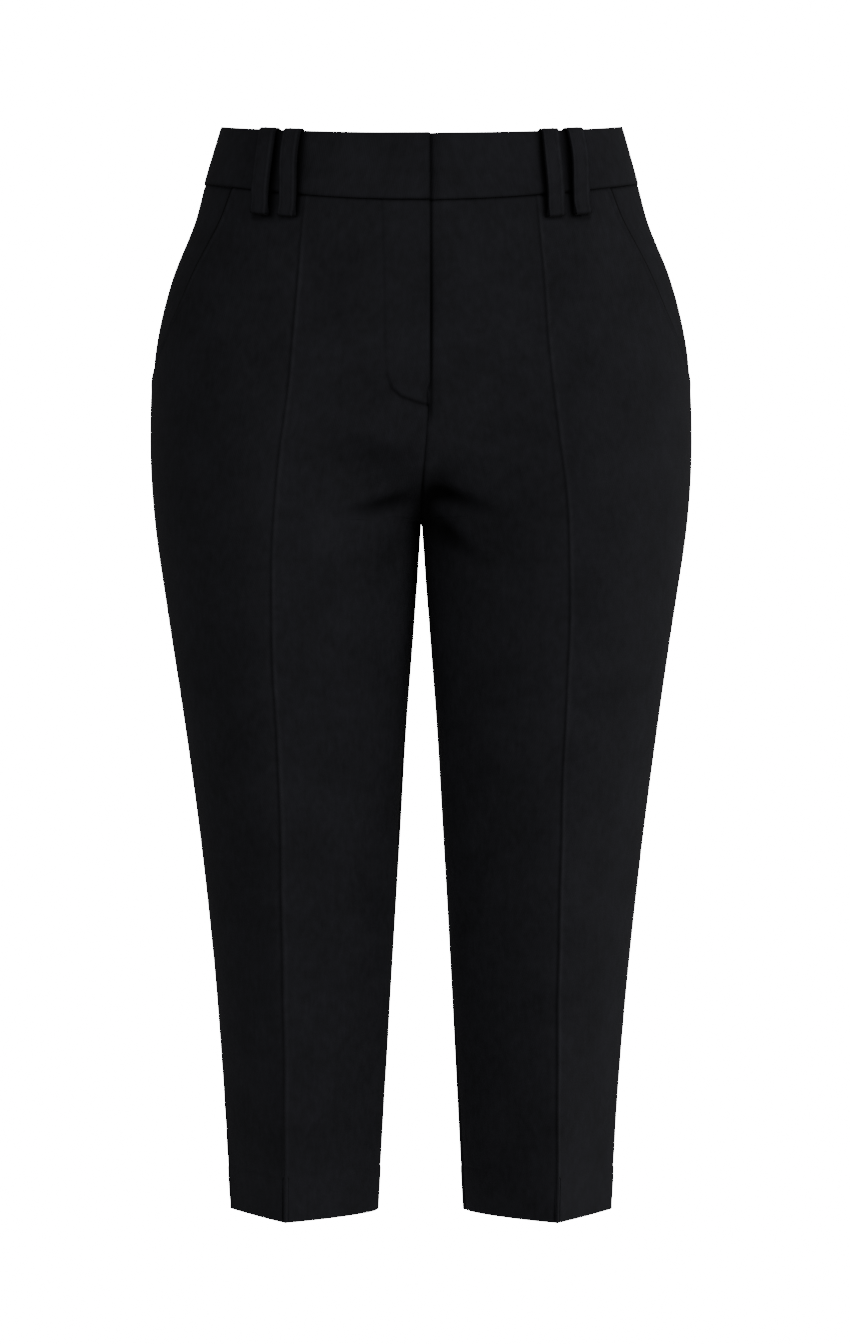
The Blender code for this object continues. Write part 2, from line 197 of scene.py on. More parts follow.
# How close together the rows lie: pairs of a depth below zero and the spacing there.
SEAT_ROWS = ((20, 0.6), (23, 1.0), (30, 2.6), (150, 2.6), (158, 1.2), (193, 1.2))
SEAT_COUNT = 90
FORK_FIRST = 15.4
FORK_COUNT = 48
LEG_ROWS = (
    (256.02, 0.8),
    (262, 1.6),
    (300, 2.6),
    (690, 3.4),
    (700, 0.9),
    (705, 0.6),
    (710, 0.9),
    (718, 2.6),
    (732, 1.2),
    (736.3, 0.45),
)
LEG_COUNT = 168
# Where the legs part, the cloth turns softly away from the centre seam.
EASE_REACH = 24.0
EASE_STEPS = 25
EASE_FROM = 1.0
EASE_WIDTH = 12.0
EASE_HEIGHT = 48.0
# Columns of a leg panel inside and outside its crease, and their relative spacing, from the
# centre to the crease and from the crease to the side.
INNER_COLUMNS = {"right": 86, "left": 70, "back": 62}
OUTER_COLUMNS = {"front": 56, "back": 58}
FLY_SPREAD = ((0, 0.5), (0.05, 0.7), (0.24, 1.0), (0.36, 0.9), (0.6, 1.6), (0.93, 1.0), (1, 0.35))
PLAIN_SPREAD = ((0, 0.3), (0.04, 0.6), (0.15, 1.4), (0.85, 1.4), (0.96, 0.5), (1, 0.25))
FACING_SPREAD = ((0, 1.0), (0.6, 1.0), (0.94, 0.6), (1, 0.3))
FACING_ROWS = ((20, 0.6), (26, 2.2), (162, 2.2))
FACING_COUNT = 64
FACING_COLUMNS = 40
BAND_ROWS = ((-21, 0.5), (-18, 1.0), (0, 1.9), (17, 1.0), (20, 0.4))
BAND_COUNT = 36
BAND_COLUMNS = 150
LOOP_ROWS = 96
LOOP_ACROSS = 27
# How finely places are looked for along a row of the surface.
SPACING_STEPS = 4000
HALVINGS = 30
SEARCH_TO = 0.6
SEARCH_STEPS = 140

# ---------------------------------------------------------------- creases, folds, stitching

# How high the iron has raised each crease.
PRESS_COLUMNS = ("z", "right", "left", "back")
PRESS = (
    (-20, 0.05, 0.55, 0.0),
    (-52, 0.35, 0.75, 0.0),
    (-100, 0.75, 0.80, 0.05),
    (-180, 0.75, 0.75, 0.35),
    (-300, 0.80, 0.80, 0.70),
    (-736.3, 0.95, 0.95, 0.95),
)

# Soft troughs on a bowed line through three places (across, height); the peak is where along
# it the trough is deepest.
TROUGH_COLUMNS = ("x0", "z0", "x1", "z1", "x2", "z2", "depth", "half_width", "peak")
FRONT_TROUGHS = (
    (-3, -234, 24, -243.5, 62, -257, 5.8, 6.0, 0.30),
    (5, -251, 22, -270, 44, -291, 4.8, 6.5, 0.35),
    (-2, -237, -23, -247, -66, -257, 5.5, 5.4, 0.30),
    (-1, -223, -42, -209, -84, -203, 1.7, 9.0, 0.40),
    (3, -224, 12, -231, 27, -238, 1.1, 7.5, 0.45),
    (10, -206, 48, -200, 88, -207, 0.8, 10.0, 0.50),
    (-8, -262, -20, -277, -31, -296, 1.3, 5.5, 0.35),
    (46, -270, 66, -296, 74, -330, 0.8, 11.0, 0.50),
    (-50, -268, -66, -300, -72, -345, 0.7, 12.0, 0.50),
    (120, -300, 138, -352, 128, -420, 0.8, 15.0, 0.50),
    (-118, -310, -137, -365, -124, -430, 0.7, 16.0, 0.45),
    (60, -430, 74, -470, 66, -520, 0.6, 12.0, 0.50),
    (-60, -440, -72, -486, -64, -540, 0.6, 13.0, 0.50),
    (22, -60, 46, -86, 66, -128, 0.6, 16.0, 0.50),
    (-34, -58, -56, -92, -70, -140, 0.6, 17.0, 0.45),
)
BACK_TROUGHS = (
    (5, -252, 34, -263, 78, -262, 3.0, 5.5, 0.30),
    (-5, -250, -30, -260, -70, -266, 2.8, 5.8, 0.35),
    (6, -268, 30, -291, 60, -306, 2.6, 6.5, 0.35),
    (-6, -272, -28, -297, -54, -318, 2.4, 6.2, 0.40),
    (8, -232, 44, -240, 96, -236, 1.6, 8.5, 0.40),
    (-8, -234, -52, -244, -104, -232, 1.4, 9.0, 0.45),
    (12, -296, 28, -330, 44, -372, 1.4, 8.0, 0.40),
    (-13, -304, -26, -344, -40, -392, 1.2, 8.5, 0.40),
    (120, -250, 140, -310, 132, -388, 1.1, 15.0, 0.45),
    (-124, -262, -142, -330, -130, -404, 1.0, 16.0, 0.50),
    (52, -468, 92, -478, 130, -470, 0.9, 9.0, 0.50),
    (-50, -476, -88, -484, -128, -476, 0.8, 9.5, 0.45),
    (48, -500, 84, -512, 118, -506, 0.7, 10.0, 0.55),
    (-56, -508, -92, -518, -120, -510, 0.6, 10.0, 0.50),
    (70, -30, 78, -66, 74, -110, 0.7, 14.0, 0.50),
    (-70, -30, -79, -70, -73, -116, 0.7, 14.0, 0.50),
)

# The cloth swells a little beside a trough: its share of the depth, and how much wider it is.
SWELL = 0.3
SWELL_SPREAD = 3.4

# How much painted shade a fold gets for each millimetre that it presses the cloth in, and the
# soft patches of painted shade between the folds where the legs part.
FOLD_SHADE = 0.14
PATCH_COLUMNS = ("x", "z", "wide", "high", "dark")
CROTCH_SHADES = (
    (2.5, -251, 6.5, 12, 1.10),
    (10, -240, 11, 6.5, 0.42),
    (12, -262, 8, 12, 0.30),
    (12, -229, 13, 8, 0.32),
    (20, -240, 16, 6, 0.22),
    (-34, -216, 34, 7, 0.10),
    (-22, -246, 20, 6, 0.14),
    (15, -270, 12, 16, 0.20),
)

# The fly's topstitching: down beside the lap, then round to its foot.
FLY_STITCH = (
    (-27.2, -36),
    (-25.9, -64),
    (-25.0, -106),
    (-24.4, -148),
    (-23.3, -160),
    (-19.8, -170),
    (-13.6, -175.3),
    (-3.9, -178.9),
    (6.4, -181.5),
)
# Over this distance from a seam, the normals turn into the seam's plane.
MITRE_REACH = 5.0
# So many columns beside a side seam are kept behind it, in order.
ORDERED_COLUMNS = 12
# How far a sewn edge and a free, folded edge turn to the inside.
SEAM_ALLOWANCE = 5.0
FOLDED_EDGE = 1.65
# How deep a seamed edge rolls in, and how far from the seam it does.
SIDE_ROLL = (0.55, 1.6)
WAIST_ROLL = (0.5, 1.4)
# The hem's folded edge is rounded, the double cloth swells, and the blind stitches pull.
HEM_ROUND = 0.4
HEM_FOLD = 0.5
HEM_SWELL = 0.3
HEM_SWELL_OVER = 2.5
HEM_PULL = 0.6
# The hanging cloth is still at the waist seam and moves freely from here down.
HANG_FROM = 40.0
# The fly's topstitching: how deep and wide it is, and how much deeper at its foot.
STITCH_DEPTH = 0.4
STITCH_HALF = 0.8
STITCH_AT_TOP = 0.7
STITCH_GAIN = 0.5
# The topstitching turns towards the lap at this share of its length, and its painted shade is deeper
# from there: the shade at the top, the extra shade past the turn, and its half width.
STITCH_TURN = 0.72
STITCH_TURN_OVER = 0.14
STITCH_SHADE = 0.14
STITCH_TURN_SHADE = 0.5
STITCH_SHADE_REACH = 1.3
# The lap gapes a little in the middle of the fly, and the painted shadow under its edge is deepest
# there.
LAP_GAPE = 0.9
LAP_GAPE_AT = -118.0
LAP_GAPE_REACH = 38.0
LAP_GAPE_FROM = -9.0
UNDER_SHADE = 0.62
UNDER_SHADE_GAPE = 0.3
# Painted shade along the centre seam, deeper towards the crotch.
CENTRE_SHADE = 0.35
CENTRE_SHADE_GAIN = 0.4
# The slant pocket's edge thins out to nothing over this last stretch before the side seam.
POCKET_FADE = 12.0
# A dart: its line, its groove with its painted shade, and the dimple at its foot.
DART_TOP_X = 70.0
DART_FOOT_X = 63.0
DART_FOOT = -112.0
DART_DEPTH = 0.6
DART_HALF = 1.1
DART_SHADE = 0.45
DART_DIMPLE = 0.35
DART_DIMPLE_REACH = 12.0
DART_FADE = 4.0
# A strap's rounded edge, and the painted shade along its rim.
LOOP_EDGE = 0.35
LOOP_EDGE_SHADE = 0.5
LOOP_EDGE_SHADE_OVER = 0.7

# Fine lines beside an edge or a crease: an amount, how far from the edge their middle lies, and
# their half width. Those called rise or dent lift or press the cloth, in millimetres. The
# others are painted light: a painted highlight brightens the colour by this share, painted
# shade darkens it when below 0, and a painted shadow's amount is taken away.
LINE_COLUMNS = ("name", "amount", "at", "reach")
LINES = (
    ("crease_rise", 0.85, 0.0, 1.15),
    ("crease_dent", -0.30, -2.3, 1.3),
    ("crease_painted_highlight", 0.24, 1.5, 1.3),
    ("crease_painted_shade", -0.34, -0.4, 0.9),
    ("waist_painted_shade", -0.6, 0.0, 1.2),
    ("side_painted_shade", -0.25, 0.0, 1.2),
    ("inseam_painted_shade", -0.3, 0.0, 1.2),
    ("centre_painted_shade", -1.0, 0.0, 1.0),
    ("back_seam_painted_shade", -0.35, 0.0, 1.1),
    ("hem_dent", -0.28, 0.0, 1.0),
    ("lap_rise", 0.3, 1.6, 1.3),
    ("lap_painted_shade", -0.55, 0.0, 0.9),
    ("under_lap_painted_shadow", -1.0, 0.7, 1.3),
    ("pocket_rise", 0.6, 2.7, 1.4),
    ("pocket_dent", -0.35, 5.6, 0.9),
    ("pocket_painted_highlight", 0.12, 3.4, 1.6),
    ("pocket_painted_shade", -1.0, 0.0, 1.9),
    ("facing_painted_shadow", -0.9, 0.0, 2.6),
    ("band_lap_rise", 0.35, 2.2, 1.4),
    ("band_top_dent", -0.35, 0.0, 1.6),
    ("band_foot_dent", -0.35, 0.0, 1.2),
    ("band_foot_painted_shade", -0.4, 0.0, 1.0),
    ("band_top_painted_shade", -0.15, 0.0, 1.4),
    ("band_back_painted_shade", -0.3, 0.0, 1.2),
    ("band_lap_painted_shade", -0.45, 0.0, 1.0),
    ("band_under_painted_shadow", -0.6, 0.7, 1.3),
    ("loop_rise", 0.28, 4.3, 0.7),
    ("loop_dent", -0.16, 3.0, 0.55),
    ("loop_painted_highlight", 0.18, 4.1, 0.9),
    ("loop_painted_shade", -0.1, 2.9, 0.6),
    ("loop_foot_painted_shade", -0.5, 0.0, 0.9),
    ("loop_inner_shadow", 0.85, 0.0, 3.4),
    ("loop_outer_shadow", 0.55, 0.0, 1.6),
    ("loop_foot_shadow", 1.0, 0.0, 2.6),
)

# Slow waves, so that no edge or crease is quite straight: height, radians for each millimetre
# and where the wave starts. The waves of hanging cloth run both across and down.
SEAM_WAVES = ((0.18, 0.23, 0.0), (0.12, 0.61, 1.3))
CREASE_WAVES = ((0.25, 0.031, 1.0), (0.15, 0.083, 0.0))
HEM_WAVES = ((0.25, 0.42, 0.0), (0.15, 0.93, 2.0))
BAND_WAVES = ((0.22, 0.05, 1.0),)
BAND_WAVE_DOWN = 0.06
HANG_WAVES = (
    (0.35, 0.021, 0.0081, 1.7),
    (0.28, 0.034, 0.0127, 4.1),
    (0.20, 0.013, 0.0212, 2.6),
    (0.14, 0.052, 0.0173, 0.4),
)

# In degrees: the bends that are rounded off, and those that are shaded as smooth.
ROUNDED_ANGLE = 62
SMOOTH_ANGLE = 50
ROUNDING_STEPS = 2

# How far a finished piece may stand out of its solid.
SHEET_MARGIN = 4.0


def read(rows, columns, z, name):
    """A smooth curve through one column of a table, read at the heights z."""
    table = np.array(rows, float)[::-1]
    heights, values = table[:, 0], table[:, columns.index(name)]
    slopes = np.gradient(values, heights)
    z = np.clip(z, heights[0], heights[-1])
    i = np.clip(np.searchsorted(heights, z, side="right") - 1, 0, len(heights) - 2)
    step = heights[i + 1] - heights[i]
    t = (z - heights[i]) / step
    near = (1 + 2 * t) * (1 - t) ** 2 * values[i] + t * (1 - t) ** 2 * step * slopes[i]
    far = t * t * (3 - 2 * t) * values[i + 1] - t * t * (1 - t) * step * slopes[i + 1]
    return near + far


def share_between(z, low, high):
    """0 at the low height or below, 1 at the high one or above, and straight between."""
    return np.clip((z - low) / (high - low), 0.0, 1.0)


def smooth_step(x):
    """0 up to 0, 1 from 1 on, and a soft curve between."""
    x = np.clip(x, 0.0, 1.0)
    return x * x * (3 - 2 * x)


def hump(distance, reach):
    """1 in the middle, falling off softly to either side."""
    return np.exp(-((distance / reach) ** 2))


def line(name, distance):
    """One of the fine lines, at these distances from the edge that it runs beside."""
    chosen = next(dict(zip(LINE_COLUMNS, row)) for row in LINES if row[0] == name)
    return chosen["amount"] * hump(distance - chosen["at"], chosen["reach"])


def waver(along, waves, turn=1.0):
    """The sum of a few slow waves along a seam, a crease or a hem."""
    return sum(height * np.sin(along * rate + start * turn) for height, rate, start in waves)


def hand_of(side):
    """The wearer's right or left."""
    return "right" if side < 0 else "left"


def spaced(table, count):
    """Places from the table's first to its last, as close together as its spacings say."""
    at, spacing = np.array(table, float).T
    fine = np.linspace(at[0], at[-1], SPACING_STEPS)
    crowd = 1 / np.interp(fine, at, spacing)
    run = np.concatenate([[0], np.cumsum((crowd[1:] + crowd[:-1]) / 2 * np.diff(fine))])
    return np.interp(np.linspace(0, run[-1], count), run, fine)


# ---------------------------------------------------------------- the garment's surface


def bridged(leg, centre):
    """The leg's curve back from the crease, held forward by the cloth across the centre."""
    a, b = leg**BRIDGE_POWER, centre**BRIDGE_POWER
    held = leg * centre / np.maximum(a + b - a * b, 1e-12) ** (1 / BRIDGE_POWER)
    return np.where((leg > 0) & (centre > 0), held, 0.0)


def section_point(z, s, face):
    """Across and depth of one half: s is 0 at the centre or inseam, 1 at the crease, 2 at the side."""
    key = "front" if face < 0 else "back"
    side = read(OUTLINE, OUTLINE_COLUMNS, z, "side")
    depth = face * read(OUTLINE, OUTLINE_COLUMNS, z, key)
    crease = read(CREASES, CREASE_COLUMNS, z, key + "_x")
    sharp = read(CREASES, CREASE_COLUMNS, z, "sharp")
    side_sharp = read(CREASES, CREASE_COLUMNS, z, "side_sharp")
    inner_sharp = read(CREASES, CREASE_COLUMNS, z, "inner_sharp")

    turn = np.arcsin(crease / side)
    angle = np.where(s <= 1, turn * s, turn + (np.pi / 2 - turn) * (s - 1))
    trunk_x, trunk_y = side * np.sin(angle), depth * np.cos(angle)

    below = z <= CROTCH
    inner_x = np.where(below, read(INSEAM, INSEAM_COLUMNS, z, "x"), 0.0)
    inner_y = np.where(below, read(INSEAM, INSEAM_COLUMNS, z, "y"), CROTCH_Y)
    fork = share_between(-z, -FORK_FROM, -CROTCH)
    closing = np.where(below, 1.0, fork**2)
    back = np.clip(1 - s, 0, 1)
    across = (1 - closing) * back + closing * np.sin(back * np.pi / 2) ** sharp
    in_x = crease - (crease - inner_x) * across
    turned = 1 - np.clip(1 - across ** (2 / sharp), 0, 1) ** (inner_sharp / 2)
    bridge = np.where(below, 1.0, 1 - (1 - fork**FORK_POWER) ** (1 / FORK_POWER))
    in_y = depth + (inner_y - depth) * bridged(turned, bridge)
    if face > 0:
        turn_in = across**4 * np.sqrt(np.clip(1 - across**2, 0, 1))
        in_x -= np.where(below, read(INSEAM, INSEAM_COLUMNS, z, "roll") * 4 * turn_in, 0.0)
    a = np.clip(s - 1, 0, 1) * np.pi / 2
    out_x = crease + (side - crease) * np.sin(a) ** sharp
    out_y = depth * np.clip(np.cos(a), 0, 1) ** side_sharp
    leg_x, leg_y = np.where(s <= 1, in_x, out_x), np.where(s <= 1, in_y, out_y)

    weight = smooth_step((SHAPE_FROM - z) / (SHAPE_FROM - SHAPE_TO))
    return trunk_x + weight * (leg_x - trunk_x), trunk_y + weight * (leg_y - trunk_y)


def waist_dip(s, face, at_top):
    """How far the waist line lies below its height at the side seam."""
    if face > 0:
        return -BACK_RISE * (0.5 + 0.5 * np.cos(s / 2 * np.pi))
    angle = np.where(s <= 1, CREASE_TURN * s, CREASE_TURN + (90 - CREASE_TURN) * (s - 1))
    facing = np.clip(np.cos(np.radians(angle)), 0, 1)
    if at_top:
        return FRONT_DIP_TOP * facing**DIP_POWER_TOP
    return FRONT_DIP_SEAM * facing**DIP_POWER_SEAM


def waist_height(level, s, face):
    """The real height of a row that meets the side seam at this level."""
    at_seam, at_top = waist_dip(s, face, False), waist_dip(s, face, True)
    fade = smooth_step((level - DIP_ENDS) / (BAND_SEAM - DIP_ENDS))
    up = share_between(level, BAND_SEAM, BAND_TOP)
    return level - at_seam * fade - (at_top - at_seam) * up


def surface(level, s, face, side):
    """Points of the outer surface, in millimetres. A negative s lies past the centre line."""
    level, s = np.broadcast_arrays(np.asarray(level, float), np.asarray(s, float))
    z = waist_height(level, np.abs(s), face)
    x, y = section_point(z, np.abs(s), face)
    x = x * side * np.where(s < 0, -1, 1)
    if face < 0:
        drift = SEAM_DRIFT * smooth_step((z - CROTCH) / (FLY_BOTTOM - CROTCH))
        drift = drift * (1 - share_between(z, FLY_BOTTOM, FLY_WHOLE))
        x = x + drift * np.clip(1 - np.abs(x) / DRIFT_REACH, 0, 1) ** 2
    return np.stack([x, y, z], axis=-1)


def eased_surface(levels, s, face, side):
    """The surface with the turn at the crotch's height eased, away from the centre seam."""
    points = surface(levels[:, None], s, face, side)
    steps = np.linspace(-EASE_REACH, EASE_REACH, EASE_STEPS)
    weights = hump(steps, EASE_REACH / 1.5)
    eased = sum(
        w * surface(levels[:, None] + step, s, face, side)[..., :2] for w, step in zip(weights, steps)
    )
    eased /= weights.sum()
    beside = smooth_step((np.abs(points[..., 0]) - EASE_FROM) / EASE_WIDTH)
    share = (beside * hump(points[..., 2] - CROTCH, EASE_HEIGHT))[..., None]
    points[..., :2] += share * (eased - points[..., :2])
    return points


def column_at(levels, x, face, side):
    """The column where each row stands this far from the centre plane."""
    low, high = np.zeros(len(levels)), np.full(len(levels), 2.0)
    for _ in range(HALVINGS):
        middle = (low + high) / 2
        short = side * surface(levels, middle, face, side)[:, 0] < x
        low, high = np.where(short, middle, low), np.where(short, high, middle)
    return (low + high) / 2


def column_from_seam(levels, distances, face, side):
    """The columns that lie these distances round from the side seam, row by row."""
    s = np.linspace(2, SEARCH_TO, SEARCH_STEPS)
    points = surface(levels[:, None], s[None, :], face, side)
    steps = np.linalg.norm(np.diff(points[..., :2], axis=1), axis=-1)
    walked = np.concatenate([np.zeros((len(levels), 1)), np.cumsum(steps, axis=1)], axis=1)
    return np.stack([np.interp(d, w, s) for d, w in zip(distances, walked)])


def panel_levels():
    """The rows of a leg panel from the waist seam to the hem, close together where it bends."""
    angles = np.radians(np.linspace(FORK_FIRST, 90, FORK_COUNT))
    fork = FORK_FROM + (CROTCH - FORK_FROM) * np.sin(angles) ** (2 / FORK_POWER)
    return np.concatenate([-spaced(SEAT_ROWS, SEAT_COUNT)[:-1], fork, -spaced(LEG_ROWS, LEG_COUNT)])


class Cloth:
    """A grid of points of one piece, in rows from the top, with its distances and normals."""

    def __init__(self, points, crease_column):
        self.points = points
        steps = np.linalg.norm(np.diff(points, axis=1), axis=-1)
        run = np.concatenate([np.zeros((len(points), 1)), np.cumsum(steps, axis=1)], axis=1)
        self.from_inner = run
        self.from_outer = run[:, -1:] - run
        self.from_crease = run - run[:, crease_column][:, None]
        drops = np.linalg.norm(np.diff(points[:, crease_column], axis=0), axis=-1)
        self.down = np.concatenate([[0], np.cumsum(drops)])
        self.from_top = np.linalg.norm(points - points[0], axis=-1)
        across = np.gradient(points, axis=1)
        normals = np.cross(across, np.gradient(points, axis=0))
        normals /= np.maximum(np.linalg.norm(normals, axis=-1, keepdims=True), 1e-9)
        self.flipped = self.points_in(normals)
        self.normals = -normals if self.flipped else normals
        self.x, self.z = points[..., 0].copy(), points[..., 2].copy()
        self.shade = np.zeros(self.x.shape)

    def points_in(self, normals):
        """Whether these normals point towards the middle of the garment."""
        middle = len(self.points) // 8
        outwards = self.points[middle, :, :2] * normals[middle, :, :2]
        return outwards.sum() < 0

    def mitre(self, distance, edge_normals, share):
        """Turns the normals near a seam into the plane where the two pieces meet, row by row."""
        near = (smooth_step(1 - distance / MITRE_REACH) * share[:, None])[..., None]
        self.normals = self.normals + near * (edge_normals[:, None, :] - self.normals)
        self.normals /= np.linalg.norm(self.normals, axis=-1, keepdims=True)

    def mitre_side(self, side, share):
        """The side seam faces straight out to the side."""
        edge_normals = np.broadcast_to([float(side), 0.0, 0.0], (len(self.points), 3))
        self.mitre(self.from_outer, edge_normals, share)

    def mitre_centre(self, side, share):
        """The centre seam lies in the middle plane, and the inseam faces the other leg."""
        edge_normals = self.normals[:, 0] * [0.0, 1.0, 1.0]
        edge_normals[self.z[:, 0] <= CROTCH] = (-side, 0.0, 0.0)
        edge_normals /= np.maximum(np.linalg.norm(edge_normals, axis=-1, keepdims=True), 1e-9)
        self.mitre(self.from_inner, edge_normals, share)

    def draw_back(self, side, face, at_side, at_centre):
        """Mitres the sewn rows of both edges and draws each edge back from its seam."""
        self.mitre_side(side, at_side)
        self.mitre_centre(side, at_centre)
        leg = self.z[:, 0] <= CROTCH
        self.points[0, :, 2] -= GAP / 2
        self.points[:, -1, 1] += face * TOUCH * at_side
        self.points[:, 0, 0] += side * TOUCH * at_centre * ~leg
        self.points[:, 0, 1] += face * TOUCH * leg

    def mark(self, amount):
        """Paints shade into the cloth's colour where the amount is below 0, and a highlight where it is
        above.
        """
        self.shade = self.shade + amount

    def lift(self, amount):
        """Moves each point out along its normal."""
        self.points = self.points + self.normals * amount[..., None]

    def keep_order(self, face, share):
        """Near the side seam each point stays further from the seam than the point outside it."""
        last = self.points.shape[1] - 1
        for j in range(last - 1, last - 1 - ORDERED_COLUMNS, -1):
            least = self.points[:, j + 1, 1] * face + TOUCH
            here = self.points[:, j, 1] * face
            self.points[:, j, 1] = face * np.where(share > 0, np.maximum(here, least), here)

    def turned_in(self, inner, outer):
        """The points with each side edge folded to the inside by these depths, row by row."""
        first = self.points[:, :1] - self.normals[:, :1] * inner[:, None, None]
        last = self.points[:, -1:] - self.normals[:, -1:] * outer[:, None, None]
        return np.concatenate([first, self.points, last], axis=1)

    def cut(self):
        """Width, length and area of the flat piece, in metres."""
        wide = self.from_inner[:, -1].max() * MM
        long = self.down[-1] * MM
        rows = (self.from_inner[1:, -1] + self.from_inner[:-1, -1]) / 2
        area = (rows * np.diff(self.down)).sum() * MM * MM
        return wide, long, min(area, wide * long)


# ---------------------------------------------------------------- creases, folds, stitching


def edged(values):
    """A grid of values with its first and last columns doubled, for the turned-in edges."""
    return np.concatenate([values[:, :1], values, values[:, -1:]], axis=1)


def along_path(places, x, z):
    """Distance to a path in the front view, and how far along it the nearest place is, 0 to 1."""
    places = np.array(places, float)
    nearest, share = np.full(x.shape, np.inf), np.zeros(x.shape)
    lengths = np.linalg.norm(np.diff(places, axis=0), axis=1)
    start = np.concatenate([[0], np.cumsum(lengths)]) / lengths.sum()
    for i, (a, b) in enumerate(zip(places[:-1], places[1:])):
        run = b - a
        t = np.clip(((x - a[0]) * run[0] + (z - a[1]) * run[1]) / (run @ run), 0, 1)
        d = np.hypot(x - a[0] - t * run[0], z - a[1] - t * run[1])
        share = np.where(d < nearest, start[i] + t * (start[i + 1] - start[i]), share)
        nearest = np.minimum(d, nearest)
    return nearest, share


def bowed(row, steps=14):
    """Points of the smooth curve through a trough's three places."""
    t = np.linspace(0, 1, steps)[:, None]
    a, b, c = (np.array(row[i : i + 2], float) for i in (0, 2, 4))
    middle = 2 * b - (a + c) / 2
    return (1 - t) ** 2 * a + 2 * t * (1 - t) * middle + t * t * c


def troughs(rows, x, z):
    """How far the soft folds press the cloth in, with the slight swell beside each."""
    total = np.zeros(x.shape)
    for row in rows:
        fold = dict(zip(TROUGH_COLUMNS, row))
        distance, share = along_path(bowed(row), x, z)
        rising = np.clip(share / fold["peak"], 0, 1)
        falling = np.clip((1 - share) / (1 - fold["peak"]), 0, 1)
        taper = smooth_step(rising) * smooth_step(falling)
        q = (distance / fold["half_width"]) ** 2
        total += fold["depth"] * taper * (np.exp(-q) - SWELL * np.exp(-q / SWELL_SPREAD))
    return total


def hang(x, z, seed):
    """Slow, shallow unevenness of cloth that hangs: a few long waves that never line up."""
    return sum(h * np.sin(a * x + b * z + c * (1 + seed)) for h, a, b, c in HANG_WAVES)


def seam_roll(distance, along, roll=SIDE_ROLL):
    """A seamed edge turns in, a little more and a little less along its length."""
    depth, reach = roll
    return -depth * (1 + waver(along, SEAM_WAVES)) * hump(distance, reach)


def pressed_crease(cloth, press, side):
    """A fine ridge, dented on the wearer's right of it, with painted shade on that side and a painted
    highlight on its left.
    """
    d = cloth.from_crease * side + waver(cloth.z, CREASE_WAVES, side)
    cloth.mark(press * (line("crease_painted_highlight", d) + line("crease_painted_shade", d)))
    return press * (line("crease_rise", d) + line("crease_dent", d))


def loop_shadow(x, z, side, face):
    """Painted shadow in the gaps beside and below the belt loops, on the band and the panel behind
    them.
    """
    total = np.zeros(x.shape)
    foot = BAND_SEAM - LOOP_FOOT
    for loop in (dict(zip(LOOP_COLUMNS, row)) for row in LOOPS):
        if loop["side"] != side or loop["face"] != face:
            continue
        dip = waist_dip(np.array(LOOP_COLUMN[face]), face, False)
        share = share_between(z + dip, foot, BAND_TOP)
        centre = loop["x_foot"] + (loop["x_top"] - loop["x_foot"]) * share
        off = x * side - centre
        past = np.maximum(np.abs(off) - LOOP_WIDTH / 2, 0)
        beside = np.where(off < 0, line("loop_inner_shadow", past), line("loop_outer_shadow", past))
        below = np.maximum(foot - z - dip, 0)
        total = np.maximum(total, beside * line("loop_foot_shadow", below))
    return total


def hem_line(z, x):
    """The blind hem: a faint line where the turn-up ends, and double cloth below it."""
    above = z - HEM - HEM_TURNUP
    pull = HEM_PULL + waver(x, HEM_WAVES)
    double = HEM_SWELL * smooth_step(-above / HEM_SWELL_OVER)
    fold = HEM_ROUND * smooth_step((HEM + HEM_FOLD - z) / HEM_FOLD)
    return double + pull * line("hem_dent", above) - fold


def over_lap(x, amount):
    """How far the right front stands out near the lap's edge."""
    return amount * smooth_step((x - LAP_RAMP_FROM) / (LAP_RAMP_TO - LAP_RAMP_FROM))


def under_lap(x, amount):
    """How far the left front is pressed in under the lap."""
    return amount * smooth_step((UNDER_RAMP_TO - x) / (UNDER_RAMP_TO - LAP_EDGE))


# ---------------------------------------------------------------- from grids to meshes


def deselect_all():
    if bpy.context.object and bpy.context.object.mode != "OBJECT":
        bpy.ops.object.mode_set(mode="OBJECT")
    bpy.ops.object.select_all(action="DESELECT")


def grid_mesh(name, points, u, v, flipped, shade):
    """A new grid at these points, with its UV map in metres of cloth and its painted light and shade.
    """
    deselect_all()
    rows, columns = points.shape[:2]
    bpy.ops.mesh.primitive_grid_add(x_subdivisions=columns - 1, y_subdivisions=rows - 1, size=1)
    piece = bpy.context.object
    piece.name = piece.data.name = name
    mesh = piece.data
    flat = np.zeros(len(mesh.vertices) * 3)
    mesh.vertices.foreach_get("co", flat)
    flat = flat.reshape(-1, 3)
    column = np.rint((flat[:, 0] + 0.5) * (columns - 1)).astype(int)
    row = np.rint((0.5 - flat[:, 1]) * (rows - 1)).astype(int)
    mesh.vertices.foreach_set("co", (points[row, column] * MM).ravel())
    loops = np.zeros(len(mesh.loops), int)
    mesh.loops.foreach_get("vertex_index", loops)
    cloth = np.stack([u[row, column], v[row, column]], axis=-1)[loops] * MM
    layer = mesh.uv_layers[0] if mesh.uv_layers else mesh.uv_layers.new(name="UVMap")
    layer.name = "UVMap"
    layer.uv.foreach_set("vector", cloth.ravel())
    # This attribute carries each point's painted shade and painted highlight into the base colour.
    painted_light_layer = mesh.attributes.new("press", "FLOAT", "POINT")
    painted_light_layer.data.foreach_set("value", shade[row, column])
    if not flipped:
        mesh.flip_normals()
    mesh.update()
    return piece, row


